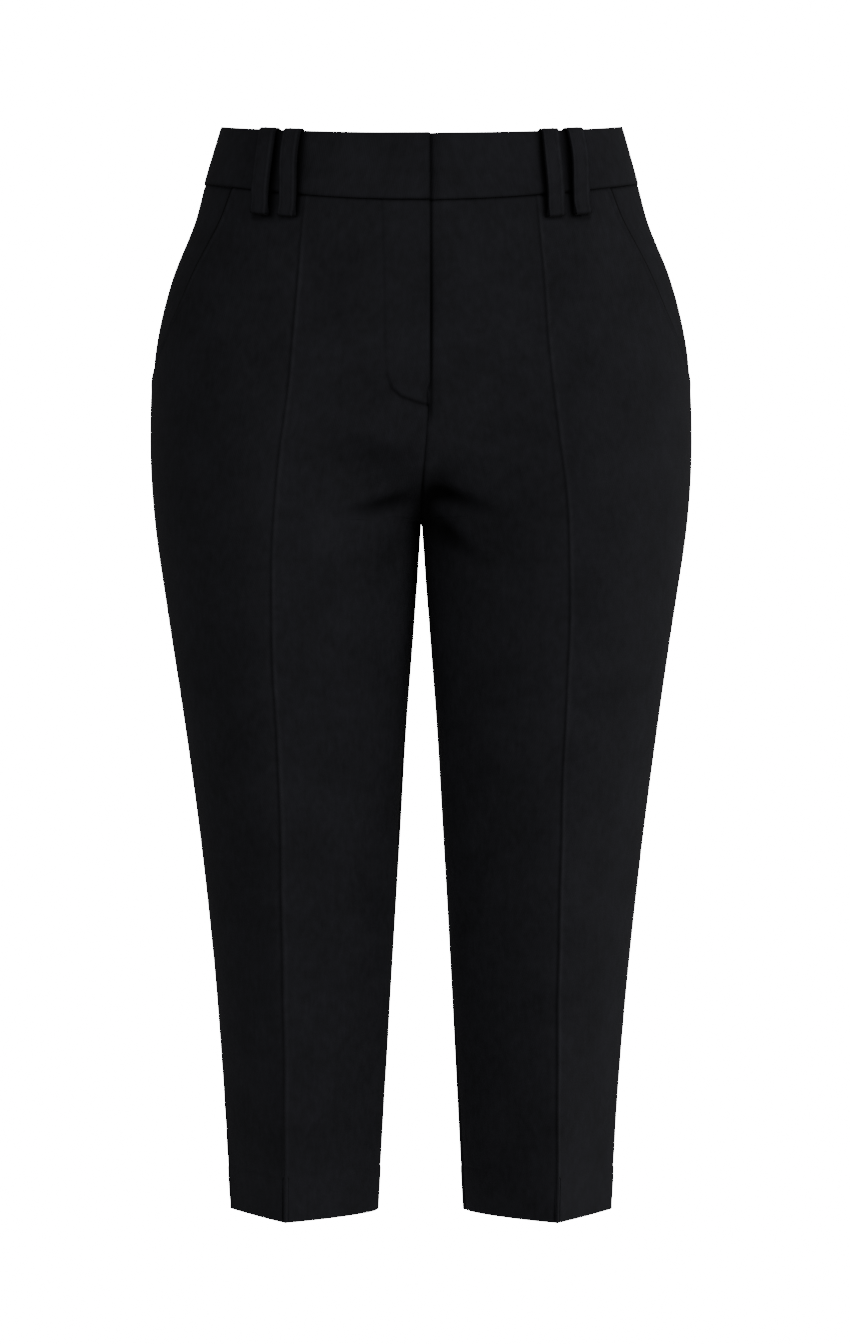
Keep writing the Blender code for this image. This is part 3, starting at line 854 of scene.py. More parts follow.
def thicken(piece, thickness, share=None, offset=-1.0, edge=0.0):
    """Gives the sheet its wall, thicker where a share per vertex says, and may round its edges."""
    solid = piece.modifiers.new("Wall", "SOLIDIFY")
    solid.thickness = thickness * MM
    solid.offset = offset
    solid.use_even_offset = False
    if share is not None:
        group = piece.vertex_groups.new(name="wall")
        for level in np.unique(np.round(share, 3)):
            chosen = np.flatnonzero(np.round(share, 3) == level).tolist()
            group.add(chosen, float(level), "REPLACE")
        solid.vertex_group = "wall"
    bpy.context.view_layer.objects.active = piece
    bpy.ops.object.modifier_apply(modifier="Wall")
    if edge:
        round_off = piece.modifiers.new("Edges", "BEVEL")
        round_off.width = edge * MM
        round_off.segments = ROUNDING_STEPS
        round_off.limit_method = "ANGLE"
        round_off.angle_limit = math.radians(ROUNDED_ANGLE)
        bpy.ops.object.modifier_apply(modifier="Edges")
    piece.vertex_groups.clear()
    bpy.ops.object.shade_smooth_by_angle(angle=math.radians(SMOOTH_ANGLE))


def finish_piece(piece, node, slot, cut):
    """Stands a piece in for its node, and says what it is cut from."""
    low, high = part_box(node)
    co = np.array([v.co for v in piece.data.vertices])
    slack = SHEET_MARGIN * MM
    if (co.min(0) < np.array(low) - slack).any() or (co.max(0) > np.array(high) + slack).any():
        raise RuntimeError(f"{piece.name} strays out of its solid: {co.min(0)} {co.max(0)}")
    piece.data.materials.clear()
    piece.data.materials.append(cloth_material(slot))
    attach(piece, "root")
    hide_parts(node)
    return piece


# ---------------------------------------------------------------- materials


def colour(code):
    """An sRGB hex code as linear red, green, blue and alpha."""
    parts = [int(code[i : i + 2], 16) / 255 for i in (1, 3, 5)]
    return (*[p / 12.92 if p <= 0.04045 else ((p + 0.055) / 1.055) ** 2.4 for p in parts], 1.0)


def add_node(tree, kind, settings=None, inputs=None):
    """Adds a node with its settings, and its inputs as values or as links from other nodes."""
    node = tree.nodes.new(kind)
    for name, value in (settings or {}).items():
        setattr(node, name, value)
    for name, value in (inputs or {}).items():
        if isinstance(value, bpy.types.NodeSocket):
            tree.links.new(value, node.inputs[name])
        else:
            node.inputs[name].default_value = value
    return node


# Sizes of the cloth's pattern in millimetres, across and down.
STREAK_MM = (2.4, 11.0)
GRAIN_MM = (5.5, 7.5)
PATCHES_PER_METRE = 26.0
# The twill's lines lean to the right, in degrees; this scale repeats the wave once in each unit.
TWILL_LEAN = 27
WAVE_SCALE = 0.3183


def noise(tree, place, scale, detail, roughness=0.5):
    """The value of a noise texture at a place."""
    inputs = {"Vector": place, "Scale": scale, "Detail": detail, "Roughness": roughness}
    return add_node(tree, "ShaderNodeTexNoise", inputs=inputs).outputs["Fac"]


def scaled(tree, place, wide_mm, long_mm, lean=0.0):
    """A place counted in units of this many millimetres across and down, and turned."""
    inputs = {
        "Vector": place,
        "Rotation": (0.0, 0.0, math.radians(lean)),
        "Scale": (1 / (wide_mm * MM), 1 / (long_mm * MM), 1.0),
    }
    return add_node(tree, "ShaderNodeMapping", inputs=inputs).outputs["Vector"]


def blend(tree, share, first, second):
    """Two values mixed."""
    inputs = {"Factor": share, "A": first, "B": second}
    return add_node(tree, "ShaderNodeMix", {"data_type": "FLOAT"}, inputs).outputs[0]


def stretched(tree, value, low, high, to_low, to_high):
    """A value's range, low to high, stretched or squeezed to another."""
    inputs = {"Value": value, "From Min": low, "From Max": high, "To Min": to_low, "To Max": to_high}
    return add_node(tree, "ShaderNodeMapRange", inputs=inputs).outputs["Result"]


def suiting(name, dark, light, twill_mm, sheen):
    """Black wool-blend suiting, woven in a fine twill and pressed.

    The yarn is dyed black and hardly shines. What the eye gets is a soft grey bloom where the
    fibre ends catch the light at a low angle, faint upright streaks from uneven yarn, and a
    twill line too fine to see alone. On top of the dye, each piece's painted shade and painted
    highlights darken and brighten its colour.
    """
    material = bpy.data.materials.new(name)
    material.use_nodes = True
    tree = material.node_tree
    shader = tree.nodes["Principled BSDF"]
    cloth = add_node(tree, "ShaderNodeUVMap", {"uv_map": "UVMap"}).outputs["UV"]
    place = add_node(tree, "ShaderNodeTexCoord").outputs["Object"]

    # Upright streaks: a thick place in the yarn is about two millimetres wide and a centimetre long.
    streaks = noise(tree, scaled(tree, cloth, *STREAK_MM), 1.0, 2.0, 0.6)
    # The real twill repeats every 0.6 mm. It is drawn coarser, or it would be too fine to see.
    twill = add_node(
        tree,
        "ShaderNodeTexWave",
        {"wave_type": "BANDS", "bands_direction": "X", "wave_profile": "SIN"},
        {
            "Vector": scaled(tree, cloth, twill_mm, twill_mm, TWILL_LEAN),
            "Scale": WAVE_SCALE,
            "Distortion": 1.2,
            "Detail": 1.0,
            "Detail Scale": 1.0,
        },
    ).outputs["Fac"]
    # The cloth's face is never even: fibre lies this way and that, some millimetres across.
    grain = noise(tree, scaled(tree, cloth, *GRAIN_MM), 1.0, 2.0)
    # Pressing and handling leave slow patches, a few centimetres wide.
    patches = noise(tree, place, PATCHES_PER_METRE, 3.0, 0.55)

    weave = blend(tree, 0.62, streaks, grain)
    tone = stretched(tree, blend(tree, 0.42, weave, patches), 0.32, 0.68, 0.0, 1.0)
    shade = add_node(tree, "ShaderNodeMix", {"data_type": "RGBA"}, {"Factor": tone})
    yarns = [socket for socket in shade.inputs if socket.type == "RGBA"]
    yarns[0].default_value = colour(dark)
    yarns[1].default_value = colour(light)
    dyed = next(socket for socket in shade.outputs if socket.type == "RGBA")
    # Painted light: the colour is darkened by painted shade where folds, seams and gaps would lie in
    # shade, and brightened by painted highlights where ridges would catch the light.
    painted_light_layer = {"attribute_type": "GEOMETRY", "attribute_name": "press"}
    press = add_node(tree, "ShaderNodeAttribute", painted_light_layer).outputs["Fac"]
    depth = stretched(tree, press, -1.0, 1.0, 0.02, 1.98)
    dyed_with_painted_light = add_node(tree, "ShaderNodeVectorMath", {"operation": "SCALE"}, {0: dyed, "Scale": depth})
    tree.links.new(dyed_with_painted_light.outputs["Vector"], shader.inputs["Base Color"])

    relief = blend(tree, 0.45, twill, streaks)
    bump = {"Height": relief, "Strength": 0.5, "Distance": 0.22 * MM}
    fine = add_node(tree, "ShaderNodeBump", inputs=bump).outputs["Normal"]
    tree.links.new(fine, shader.inputs["Normal"])
    rough = stretched(tree, weave, 0.3, 0.7, 0.78, 0.92)
    tree.links.new(rough, shader.inputs["Roughness"])
    shader.inputs["Metallic"].default_value = 0.0
    shader.inputs["IOR"].default_value = 1.46
    shader.inputs["Specular IOR Level"].default_value = 0.12
    shader.inputs["Sheen Weight"].default_value = sheen
    shader.inputs["Sheen Roughness"].default_value = 0.45
    return material


# ---------------------------------------------------------------- settings


class ClothSettings(bpy.types.PropertyGroup):
    """The cloth that every piece is cut from."""

    dark: bpy.props.StringProperty(
        name="Dark Yarn", description="sRGB hex colour of the darkest yarn", default="#202023"
    )
    light: bpy.props.StringProperty(
        name="Light Yarn", description="sRGB hex colour of the lightest yarn", default="#2E2E33"
    )
    twill: bpy.props.FloatProperty(
        name="Twill Spacing", description="Between twill lines, in millimetres", default=1.5, min=0.3
    )
    sheen: bpy.props.FloatProperty(
        name="Sheen", description="How much the fibre ends bloom", default=0.02, min=0.0, max=1.0
    )
    edge: bpy.props.FloatProperty(
        name="Edge Rounding", description="Of the band's edges, in millimetres", default=0.8, min=0.05
    )


class PressSettings(bpy.types.PropertyGroup):
    """Creases, folds and the unevenness of hanging cloth."""

    crease: bpy.props.FloatProperty(
        name="Crease Height", description="Scale of the pressed creases", default=1.0, min=0.0
    )
    folds: bpy.props.FloatProperty(
        name="Fold Depth", description="Scale of the soft folds", default=1.0, min=0.0
    )
    hang: bpy.props.FloatProperty(
        name="Unevenness", description="Scale of the slow waves of hanging cloth", default=1.0, min=0.0
    )


class StageSettings(bpy.types.PropertyGroup):
    """Camera, lights and floor."""

    distance: bpy.props.FloatProperty(
        name="Camera Distance", description="From the lens to the middle", default=2.7, unit="LENGTH"
    )
    lens: bpy.props.FloatProperty(
        name="Focal Length", description="Lens of the camera in millimetres", default=103.3, min=10
    )
    key: bpy.props.FloatProperty(
        name="Key Light", description="Power of the light on the right", default=24.0, unit="POWER"
    )
    fill: bpy.props.FloatProperty(
        name="Fill Light", description="Power of the light on the left", default=12.5, unit="POWER"
    )
    rim: bpy.props.FloatProperty(
        name="Rim Light", description="Power of the light behind", default=8.0, unit="POWER"
    )
    ambient: bpy.props.FloatProperty(
        name="Room Light", description="Strength of the light from all round", default=0.175, min=0
    )
    backdrop: bpy.props.FloatProperty(
        name="Backdrop", description="Brightness of the plain backdrop to the eye", default=18.0, min=0
    )


# ---------------------------------------------------------------- the pieces


def cloth_material(kind):
    """The shade of suiting that this kind of piece shows, made once."""
    name = "black_twill_suiting_" + kind
    if name in bpy.data.materials:
        return bpy.data.materials[name]
    chosen = bpy.context.scene.capri_cloth
    return suiting(name, chosen.dark, chosen.light, chosen.twill, chosen.sheen)


def leg_mesh(node, cloth, levels, points):
    """A leg panel's wall, double where the hem is turned up."""
    u = edged(cloth.from_crease)
    v = -np.broadcast_to(cloth.down[:, None], u.shape)
    piece, row = grid_mesh(node + "_cloth", points, u, v, cloth.flipped, edged(cloth.shade))
    turned = levels[row] <= HEM + HEM_TURNUP
    thicken(piece, HEM_WALL, np.where(turned, 1.0, WALL / HEM_WALL))
    return piece


def pressed_leg(cloth, side, press_name, folds, seed):
    """What every leg panel has: its crease, soft folds, waist seam, slow waves and hem."""
    press = bpy.context.scene.capri_press
    x, z = cloth.x, cloth.z
    rise = pressed_crease(cloth, read(PRESS, PRESS_COLUMNS, z, press_name) * press.crease, side)
    folded = troughs(folds, x, z) * press.folds
    # Painted shade along the waist seam and in the soft folds.
    cloth.mark(line("waist_painted_shade", cloth.from_top) - FOLD_SHADE * folded)
    rise += hang(x, z, seed) * press.hang * smooth_step(cloth.from_top / HANG_FROM)
    return rise - folded + hem_line(z, x) + seam_roll(cloth.from_top, x, WAIST_ROLL)


def finish_leg(node, cloth, levels, inside, outside):
    """Turns a leg panel's edges in, thickens it and stands it in for its node."""
    piece = leg_mesh(node, cloth, levels, cloth.turned_in(inside, outside))
    return finish_piece(piece, node, "panel", cloth.cut())


def fly_over(cloth, lap, step):
    """The right front over the fly: it stands out, gapes a little and shows the topstitching."""
    x, z = cloth.x, cloth.z
    lapped = lap[:, None]
    gape = LAP_GAPE * hump(z - LAP_GAPE_AT, LAP_GAPE_REACH)
    rise = over_lap(x, LAP_RAISE) * step
    rise += gape * smooth_step((x - LAP_GAPE_FROM) / (LAP_EDGE - LAP_GAPE_FROM)) * lapped
    rise += line("lap_rise", cloth.from_inner) * lapped
    distance, share = along_path(FLY_STITCH, x, z)
    rise -= STITCH_DEPTH * (STITCH_AT_TOP + STITCH_GAIN * share) * hump(distance, STITCH_HALF)
    # Painted shade along the topstitching, deeper past its turn, and along the lap's edge.
    turned = smooth_step((share - STITCH_TURN) / STITCH_TURN_OVER)
    dark = STITCH_SHADE + STITCH_TURN_SHADE * turned
    cloth.mark(-dark * hump(distance, STITCH_SHADE_REACH))
    cloth.mark(line("lap_painted_shade", cloth.from_inner) * (lapped > 0))
    return rise


def fly_under(cloth, step):
    """The left front under the fly: pressed in, with painted shadow along the edge that covers it."""
    dark = UNDER_SHADE + UNDER_SHADE_GAPE * hump(cloth.z - LAP_GAPE_AT, LAP_GAPE_REACH)
    cloth.mark(dark * line("under_lap_painted_shadow", cloth.x - LAP_EDGE) * smooth_step(step))
    return -under_lap(cloth.x, WALL + GAP - LAP_RAISE) * step


def shade_front(cloth, side, lap, sewn):
    """Painted shade on a front: where the legs part and along its seams, and painted shadow beside its
    loops.
    """
    x, z = cloth.x, cloth.z
    for patch in (dict(zip(PATCH_COLUMNS, row)) for row in CROTCH_SHADES):
        spread = hump(x - patch["x"], patch["wide"]) * hump(z - patch["z"], patch["high"])
        cloth.mark(-patch["dark"] * spread)
    down = smooth_step((FLY_BOTTOM - z) / (FLY_BOTTOM - CROTCH))
    centre = (CENTRE_SHADE + CENTRE_SHADE_GAIN * down) * line("centre_painted_shade", cloth.from_inner)
    cloth.mark(centre * ((lap == 0)[:, None] & (z > CROTCH)))
    cloth.mark(line("inseam_painted_shade", cloth.from_inner) * (z <= CROTCH))
    cloth.mark(line("side_painted_shade", cloth.from_outer) * sewn[:, None])
    cloth.mark(-loop_shadow(x, z, side, -1))


def front(node, side):
    """One front: crease, folds, fly lap or its underside, slant pocket edge and hem."""
    levels = panel_levels()
    right = side < 0
    lap = share_between(levels, FLY_BOTTOM, FLY_WHOLE)
    start = -column_at(levels, LAP_EDGE, -1, 1) * lap if right else np.zeros(len(levels))
    edge = np.where(levels > POCKET_END, read(POCKET_EDGE, POCKET_COLUMNS, levels, "to_seam"), 0.0)
    end = column_from_seam(levels, np.maximum(edge, 0.0)[:, None], -1, side)[:, 0]
    inner = spaced(FLY_SPREAD, INNER_COLUMNS[hand_of(side)])[None, :]
    outer = spaced(PLAIN_SPREAD, OUTER_COLUMNS["front"])[None, 1:]
    to_crease = start[:, None] + (1 - start[:, None]) * inner
    to_side = 1 + (end[:, None] - 1) * outer
    s = np.concatenate([to_crease, to_side], axis=1)
    cloth = Cloth(eased_surface(levels, s, -1, side), inner.shape[1] - 1)
    sewn = end >= 2
    cloth.draw_back(side, -1, sewn, lap == 0)
    step = share_between(cloth.z, STEP_ENDS, FLY_BOTTOM)
    rise = fly_over(cloth, lap, step) if right else fly_under(cloth, step)
    rise += pressed_leg(cloth, side, hand_of(side), FRONT_TROUGHS, 0 if right else 1)
    shade_front(cloth, side, lap, sewn)

    plain = (levels <= POCKET_END)[:, None] * 1.0
    rise += plain * seam_roll(cloth.from_outer, cloth.z)
    rise += (1 - lap)[:, None] * seam_roll(cloth.from_inner, cloth.z)
    pocket = (1 - plain) * smooth_step(edge / POCKET_FADE)[:, None]
    rise += pocket * (line("pocket_rise", cloth.from_outer) + line("pocket_dent", cloth.from_outer))
    # Painted highlight just inside the pocket's edge and painted shade along it.
    cloth.mark(pocket * line("pocket_painted_highlight", cloth.from_outer))
    cloth.mark(pocket * line("pocket_painted_shade", cloth.from_outer))
    cloth.lift(rise)
    cloth.keep_order(-1, sewn)
    inside = np.where(lap > 0, FOLDED_EDGE, SEAM_ALLOWANCE)
    outside = np.where(sewn, SEAM_ALLOWANCE, FOLDED_EDGE)
    return finish_leg(node, cloth, levels, inside, outside)


def back(node, side):
    """One back: crease, dart, seat folds, centre seam and hem."""
    levels = panel_levels()
    inner = spaced(PLAIN_SPREAD, INNER_COLUMNS["back"])
    outer = spaced(PLAIN_SPREAD, OUTER_COLUMNS["back"])[1:]
    s = np.concatenate([inner, 1 + outer])[None, :]
    cloth = Cloth(eased_surface(levels, s, 1, side), len(inner) - 1)
    x, z = cloth.x, cloth.z
    every_row = np.ones(len(levels))
    cloth.draw_back(side, 1, every_row, every_row)
    rise = pressed_leg(cloth, side, "back", BACK_TROUGHS, 2 + side)
    # Painted shade along the centre back and side seams, and painted shadow beside and below the loops.
    cloth.mark(line("back_seam_painted_shade", cloth.from_inner) + line("side_painted_shade", cloth.from_outer))
    cloth.mark(-loop_shadow(x, z, side, 1))
    rise += seam_roll(cloth.from_outer, z) + seam_roll(cloth.from_inner, z)
    dart = ((side * DART_TOP_X, BAND_SEAM), (side * DART_FOOT_X, DART_FOOT))
    distance, share = along_path(dart, x, z)
    pinched = smooth_step((1 - share) * DART_FADE) * hump(distance, DART_HALF)
    # Painted shade in the dart's groove.
    cloth.mark(-DART_SHADE * pinched)
    rise -= DART_DEPTH * pinched
    rise += DART_DIMPLE * hump(share - 1, 0.3) * hump(distance, DART_DIMPLE_REACH)
    cloth.lift(rise)
    cloth.keep_order(1, every_row)
    allowance = every_row * SEAM_ALLOWANCE
    return finish_leg(node, cloth, levels, allowance, allowance)


def pocket_facing(node, side):
    """The hip piece behind the slant edge, flush with the front at the side seam."""
    levels = -spaced(FACING_ROWS, FACING_COUNT)
    edge = np.maximum(read(POCKET_EDGE, POCKET_COLUMNS, levels, "to_seam"), 0.0)
    places = spaced(FACING_SPREAD, FACING_COLUMNS)
    distance = (edge[:, None] + POCKET_UNDERLAP) * (1 - places[None, :])
    s = column_from_seam(levels, distance, -1, side)
    cloth = Cloth(surface(levels[:, None], s, -1, side), len(places) - 1)
    rows = np.ones(len(levels))
    cloth.mitre_side(side, rows)
    cloth.points[0, :, 2] -= GAP / 2
    cloth.points[:, -1, 1] -= TOUCH
    flush = np.clip(edge / POCKET_FLUSH_AT, 0, 1)[:, None]
    out = np.clip((edge[:, None] - distance) / np.maximum(edge[:, None], 1e-6), 0, 1)
    rise = -POCKET_DEPTH * (1 - flush * smooth_step(out))
    rise += seam_roll(cloth.from_outer, cloth.z) + seam_roll(cloth.from_top, cloth.x, WAIST_ROLL)
    cloth.lift(rise)
    # Painted shadow where the front's edge would shade the facing, and painted shade along the waist
    # and side seams.
    cloth.mark(line("facing_painted_shadow", edge[:, None] - distance) + line("waist_painted_shade", cloth.from_top))
    cloth.mark(line("side_painted_shade", cloth.from_outer))
    points = cloth.turned_in(rows * FOLDED_EDGE, rows * SEAM_ALLOWANCE)
    u = edged(-distance)
    v = -np.broadcast_to(cloth.down[:, None], u.shape)
    piece, _ = grid_mesh(node + "_cloth", points, u, v, cloth.flipped, edged(cloth.shade))
    thicken(piece, WALL)
    return finish_piece(piece, node, "facing", cloth.cut())


def waistband(node, side):
    """Half the band, from the lap at the centre front round to the centre back."""
    levels = -spaced(BAND_ROWS, BAND_COUNT)
    start = column_at(levels, LAP_EDGE - GAP, -1, 1) if side < 0 else np.zeros(len(levels))
    quarter = np.linspace(0, 2, BAND_COLUMNS)
    front_s = -start[:, None] + (2 + start[:, None]) * quarter[None, :] / 2
    back_s = np.broadcast_to(quarter[None, -2::-1], (len(levels), len(quarter) - 1))
    points = np.concatenate(
        [surface(levels[:, None], front_s, -1, side), surface(levels[:, None], back_s, 1, side)], axis=1
    )
    cloth = Cloth(points, len(quarter) - 1)
    x, z = cloth.x, cloth.z
    cloth.points[-1, :, 2] += GAP / 2
    cloth.points[:, -1, 0] += side * GAP / 2
    if side > 0:
        cloth.points[:, 0, 0] += GAP / 2
    in_front = (cloth.from_crease < 0) * 1.0
    rise = np.full(x.shape, BAND_PROUD)
    # Painted shade along the lap's edge on the right half, or painted shadow under it on the left.
    if side < 0:
        rise += over_lap(x, BAND_LAP_RAISE) * in_front
        rise += line("band_lap_rise", cloth.from_inner)
        cloth.mark(line("band_lap_painted_shade", cloth.from_inner))
    else:
        rise -= under_lap(x, BAND_WALL + GAP - BAND_LAP_RAISE) * in_front
        cloth.mark(line("band_under_painted_shadow", x - LAP_EDGE) * in_front)
    from_foot = np.linalg.norm(cloth.points - cloth.points[-1], axis=-1)
    rise += seam_roll(cloth.from_outer, z) + waver(x, BAND_WAVES, side) * np.sin(z * BAND_WAVE_DOWN)
    rise += line("band_top_dent", cloth.from_top) + line("band_foot_dent", from_foot)
    cloth.lift(rise)
    # Painted shade along the band's foot, top and back seam, and painted shadow beside the loops.
    cloth.mark(line("band_foot_painted_shade", from_foot) + line("band_top_painted_shade", cloth.from_top))
    cloth.mark(line("band_back_painted_shade", cloth.from_outer))
    cloth.mark(-loop_shadow(x, z, side, -1) * in_front - loop_shadow(x, z, side, 1) * (1 - in_front))
    u = cloth.from_crease
    v = np.broadcast_to(levels[:, None], u.shape)
    piece, _ = grid_mesh(node + "_cloth", cloth.points, u, v, cloth.flipped, cloth.shade)
    thicken(piece, BAND_WALL, edge=bpy.context.scene.capri_cloth.edge)
    return finish_piece(piece, node, "band", cloth.cut())


def loop_path():
    """A strap from its foot to the inside of the band: level, offset of its middle, thickness."""
    stand = GAP + LOOP_CLEAR
    thin = LOOP_THICK
    fold = LOOP_FOLD_THICK
    foot = BAND_SEAM - LOOP_FOOT
    band_out = BAND_PROUD + stand + thin / 2
    band_in = BAND_PROUD - BAND_WALL - stand - thin / 2
    over = BAND_TOP + LOOP_OVER + fold / 2
    middle = (BAND_SEAM + BAND_TOP) / 2
    return (
        (foot, stand + thin, 2 * thin),
        (foot + LOOP_FOLD * 0.6, stand + 1.05 * thin, 2 * thin),
        (foot + LOOP_FOLD, stand + 1.2 * thin, 1.7 * thin),
        (foot + LOOP_FOLD + 2.5, stand + 1.3 * thin, thin),
        (BAND_SEAM, band_out + 0.6 * LOOP_BOW, thin),
        (middle, band_out + LOOP_BOW, thin),
        (BAND_TOP - 6, band_out + 0.5 * LOOP_BOW, thin),
        (BAND_TOP - 0.6, band_out, thin),
        (over - 0.3, BAND_PROUD + 0.3, fold),
        (over, BAND_PROUD - BAND_WALL / 2, fold),
        (over - 0.3, BAND_PROUD - BAND_WALL - 0.3, fold),
        (BAND_TOP - 0.6, band_in, thin),
        (BAND_TOP - LOOP_INSIDE, band_in, thin),
    )


def smooth_run(places, steps):
    """Points evenly along a smooth curve through the places."""
    places = np.array(places, float)
    knots = np.concatenate([[0], np.cumsum(np.linalg.norm(np.diff(places[:, :2], axis=0), axis=1))])
    slopes = np.gradient(places, knots, axis=0)
    at = np.linspace(0, knots[-1], steps)
    i = np.clip(np.searchsorted(knots, at, side="right") - 1, 0, len(knots) - 2)
    gap = (knots[i + 1] - knots[i])[:, None]
    t = (at - knots[i])[:, None] / gap
    near = (1 + 2 * t) * (1 - t) ** 2 * places[i] + t * (1 - t) ** 2 * gap * slopes[i]
    far = t * t * (3 - 2 * t) * places[i + 1] - t * t * (1 - t) * gap * slopes[i + 1]
    return near + far


def belt_loop(loop):
    """A strap over the band, its foot folded under, with two raised edges and stitching."""
    side, face = loop["side"], loop["face"]
    level, offset, thick = smooth_run(loop_path(), LOOP_ROWS).T
    foot = BAND_SEAM - LOOP_FOOT
    share = share_between(level, foot, BAND_TOP)
    sway = loop["sway"] * np.sin(share * np.pi * 2)
    centre = loop["x_foot"] + (loop["x_top"] - loop["x_foot"]) * share + sway
    on_band = np.minimum(level, BAND_TOP)
    across = np.linspace(-0.5, 0.5, LOOP_ACROSS)
    columns = []
    for place in across:
        s = column_at(on_band, centre + place * LOOP_WIDTH, face, side)
        base = surface(on_band, s, face, side)
        run = surface(on_band, np.minimum(s + 0.01, 2), face, side) - base
        normal = np.stack([run[:, 1], -run[:, 0], np.zeros(len(run))], axis=-1)
        normal /= np.linalg.norm(normal, axis=-1, keepdims=True)
        outward = np.sign((normal[:, :2] * base[:, :2]).sum(axis=-1, keepdims=True))
        base[:, 2] += level - on_band
        columns.append(base + normal * outward * offset[:, None])
    points = np.stack(columns, axis=1)[::-1]
    cloth = Cloth(points, len(across) // 2)
    edge = np.abs(across)[None, :] * LOOP_WIDTH
    below_top = (level[::-1] < BAND_TOP + 1)[:, None]
    cloth.lift((line("loop_rise", edge) + line("loop_dent", edge)) * below_top)
    # Painted highlight and shade beside the raised edges, and painted shade at the rim and the folded
    # foot.
    rim = smooth_step((edge - LOOP_WIDTH / 2 + LOOP_EDGE_SHADE_OVER) / LOOP_EDGE_SHADE_OVER)
    cloth.mark(line("loop_painted_highlight", edge) + line("loop_painted_shade", edge) - LOOP_EDGE_SHADE * rim)
    cloth.mark(line("loop_foot_painted_shade", (level[::-1] - foot)[:, None]))
    u = np.broadcast_to(across[None, :] * LOOP_WIDTH, points.shape[:2])
    v = -np.broadcast_to(cloth.down[:, None], u.shape)
    piece, row = grid_mesh(loop["name"] + "_cloth", cloth.points, u, v, cloth.flipped, cloth.shade)
    doubled = 2 * LOOP_THICK
    thicken(piece, doubled, (thick / doubled)[::-1][row], offset=0.0, edge=LOOP_EDGE)
    wide, long = LOOP_WIDTH * MM, cloth.down[-1] * MM
    return finish_piece(piece, loop["name"], "loop", (wide, long, wide * long))


class CAPRI_OT_fronts(bpy.types.Operator):
    """Cuts and creases the two fronts, with the fly's lap and topstitching"""

    bl_idname = "capri.fronts"
    bl_label = "Fronts"

    def execute(self, context):
        front("front_right", -1)
        front("front_left", 1)
        return {"FINISHED"}


class CAPRI_OT_backs(bpy.types.Operator):
    """Cuts and creases the two backs, with their darts and seat folds"""

    bl_idname = "capri.backs"
    bl_label = "Backs"

    def execute(self, context):
        back("back_right", -1)
        back("back_left", 1)
        return {"FINISHED"}


class CAPRI_OT_facings(bpy.types.Operator):
    """Lays the hip pieces behind the slant pockets"""

    bl_idname = "capri.facings"
    bl_label = "Pocket Facings"

    def execute(self, context):
        pocket_facing("pocket_facing_right", -1)
        pocket_facing("pocket_facing_left", 1)
        return {"FINISHED"}


class CAPRI_OT_waistband(bpy.types.Operator):
    """Sets the two halves of the waistband, lapped at the centre front"""

    bl_idname = "capri.waistband"
    bl_label = "Waistband"

    def execute(self, context):
        waistband("waistband_right", -1)
        waistband("waistband_left", 1)
        return {"FINISHED"}


class CAPRI_OT_belt_loops(bpy.types.Operator):
    """Tacks the six belt loops over the band"""

    bl_idname = "capri.belt_loops"
    bl_label = "Belt Loops"

    def execute(self, context):
        for row in LOOPS:
            belt_loop(dict(zip(LOOP_COLUMNS, row)))
        return {"FINISHED"}


# ---------------------------------------------------------------- the stage

FLOOR = -1.02
FLOOR_RADIUS = 0.85
FLOOR_SIDES = 96
CAMERA_X = 0.0025
CAMERA_Z = -0.3605
LIGHT_COLUMNS = ("name", "x", "y", "z", "width", "height", "power")
LIGHTS = (
    ("key", 1.9, -1.9, 0.35, 1.3, 2.0, "key"),
    ("fill", -1.6, -2.4, -0.1, 2.0, 2.2, "fill"),
    ("rim_right", 2.1, 0.55, -0.3, 0.5, 2.0, "rim"),
)


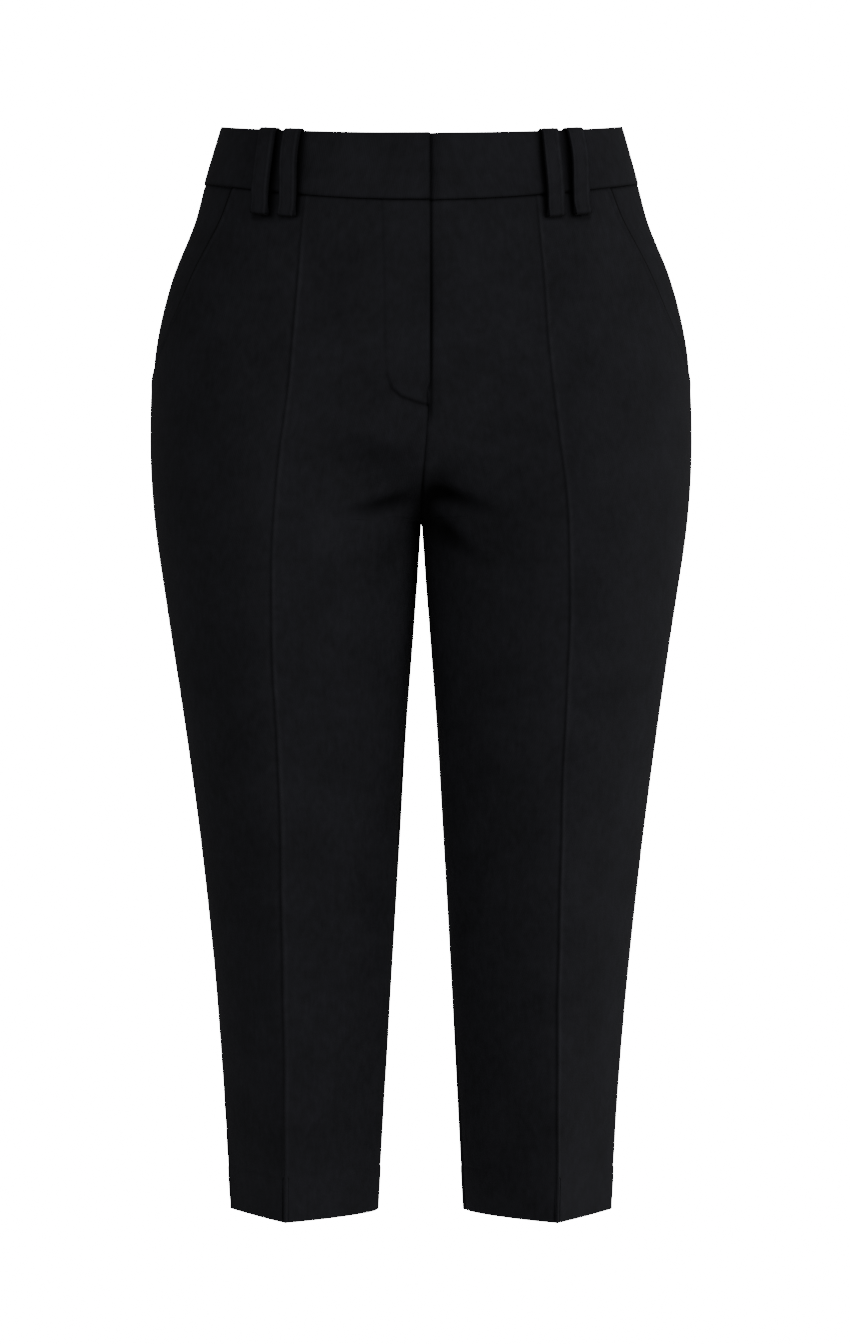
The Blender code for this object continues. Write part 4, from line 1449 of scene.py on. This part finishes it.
class CAPRI_OT_stage(bpy.types.Operator):
    """Sets the floor, the plain backdrop, the soft lights and the camera"""

    bl_idname = "capri.stage"
    bl_label = "Stage"

    def execute(self, context):
        chosen = context.scene.capri_stage
        deselect_all()
        bpy.ops.mesh.primitive_circle_add(
            vertices=FLOOR_SIDES, radius=FLOOR_RADIUS, fill_type="NGON", location=(0, 0, FLOOR)
        )
        floor = context.object
        floor.name = "floor"
        pale = bpy.data.materials.new("matt_white_studio_floor")
        pale.use_nodes = True
        paint = pale.node_tree.nodes["Principled BSDF"]
        paint.inputs["Base Color"].default_value = colour("#E9E9EA")
        paint.inputs["Roughness"].default_value = 0.9
        floor.data.materials.append(pale)

        for row in LIGHTS:
            light = dict(zip(LIGHT_COLUMNS, row))
            lamp = bpy.data.lights.new(light["name"], "AREA")
            lamp.shape = "RECTANGLE"
            lamp.size, lamp.size_y = light["width"], light["height"]
            lamp.energy = getattr(chosen, light["power"])
            stand = bpy.data.objects.new(light["name"], lamp)
            context.collection.objects.link(stand)
            stand.location = (light["x"], light["y"], light["z"])
            aim = np.array([0.0, 0.0, CAMERA_Z]) - np.array(stand.location)
            stand.rotation_euler = (
                math.atan2(math.hypot(aim[0], aim[1]), -aim[2]),
                0.0,
                math.atan2(aim[1], aim[0]) - math.pi / 2,
            )

        world = bpy.data.worlds.new("white_studio")
        context.scene.world = world
        world.use_nodes = True
        tree = world.node_tree
        tree.nodes.clear()
        white = colour("#FFFFFF")
        seen = add_node(
            tree, "ShaderNodeBackground", inputs={"Color": white, "Strength": chosen.backdrop}
        ).outputs[0]
        lit = add_node(
            tree, "ShaderNodeBackground", inputs={"Color": white, "Strength": chosen.ambient}
        ).outputs[0]
        eye = add_node(tree, "ShaderNodeLightPath").outputs["Is Camera Ray"]
        both = add_node(tree, "ShaderNodeMixShader", inputs={0: eye, 1: lit, 2: seen}).outputs[0]
        add_node(tree, "ShaderNodeOutputWorld", inputs={"Surface": both})

        camera = bpy.data.cameras.new("camera")
        camera.lens = chosen.lens
        holder = bpy.data.objects.new("camera", camera)
        context.collection.objects.link(holder)
        holder.location = (CAMERA_X, -chosen.distance, CAMERA_Z)
        holder.rotation_euler = (math.pi / 2, 0.0, 0.0)
        context.scene.camera = holder
        return {"FINISHED"}


class CAPRI_PT_panel(bpy.types.Panel):
    """Buttons for the pieces and the stage, and their settings"""

    bl_idname = "CAPRI_PT_panel"
    bl_label = "Capri Pants"
    bl_space_type = "VIEW_3D"
    bl_region_type = "UI"
    bl_category = "Capri Pants"

    def draw(self, context):
        for group in GROUPS:
            settings = getattr(context.scene, group)
            for name in settings.__annotations__:
                self.layout.prop(settings, name)
        for operator in OPERATORS:
            self.layout.operator(operator.bl_idname)


GROUPS = {"capri_cloth": ClothSettings, "capri_press": PressSettings, "capri_stage": StageSettings}
OPERATORS = (
    CAPRI_OT_fronts,
    CAPRI_OT_backs,
    CAPRI_OT_facings,
    CAPRI_OT_waistband,
    CAPRI_OT_belt_loops,
    CAPRI_OT_stage,
)


def register():
    for group in (*GROUPS.values(), *OPERATORS, CAPRI_PT_panel):
        bpy.utils.register_class(group)
    for name, group in GROUPS.items():
        setattr(bpy.types.Scene, name, bpy.props.PointerProperty(type=group))


def unregister():
    for name in GROUPS:
        delattr(bpy.types.Scene, name)
    for group in reversed((*GROUPS.values(), *OPERATORS, CAPRI_PT_panel)):
        bpy.utils.unregister_class(group)


def main():
    register()
    bpy.ops.capri.fronts()
    bpy.ops.capri.backs()
    bpy.ops.capri.facings()
    bpy.ops.capri.waistband()
    bpy.ops.capri.belt_loops()
    bpy.ops.capri.stage()


if __name__ == "__main__":
    main()
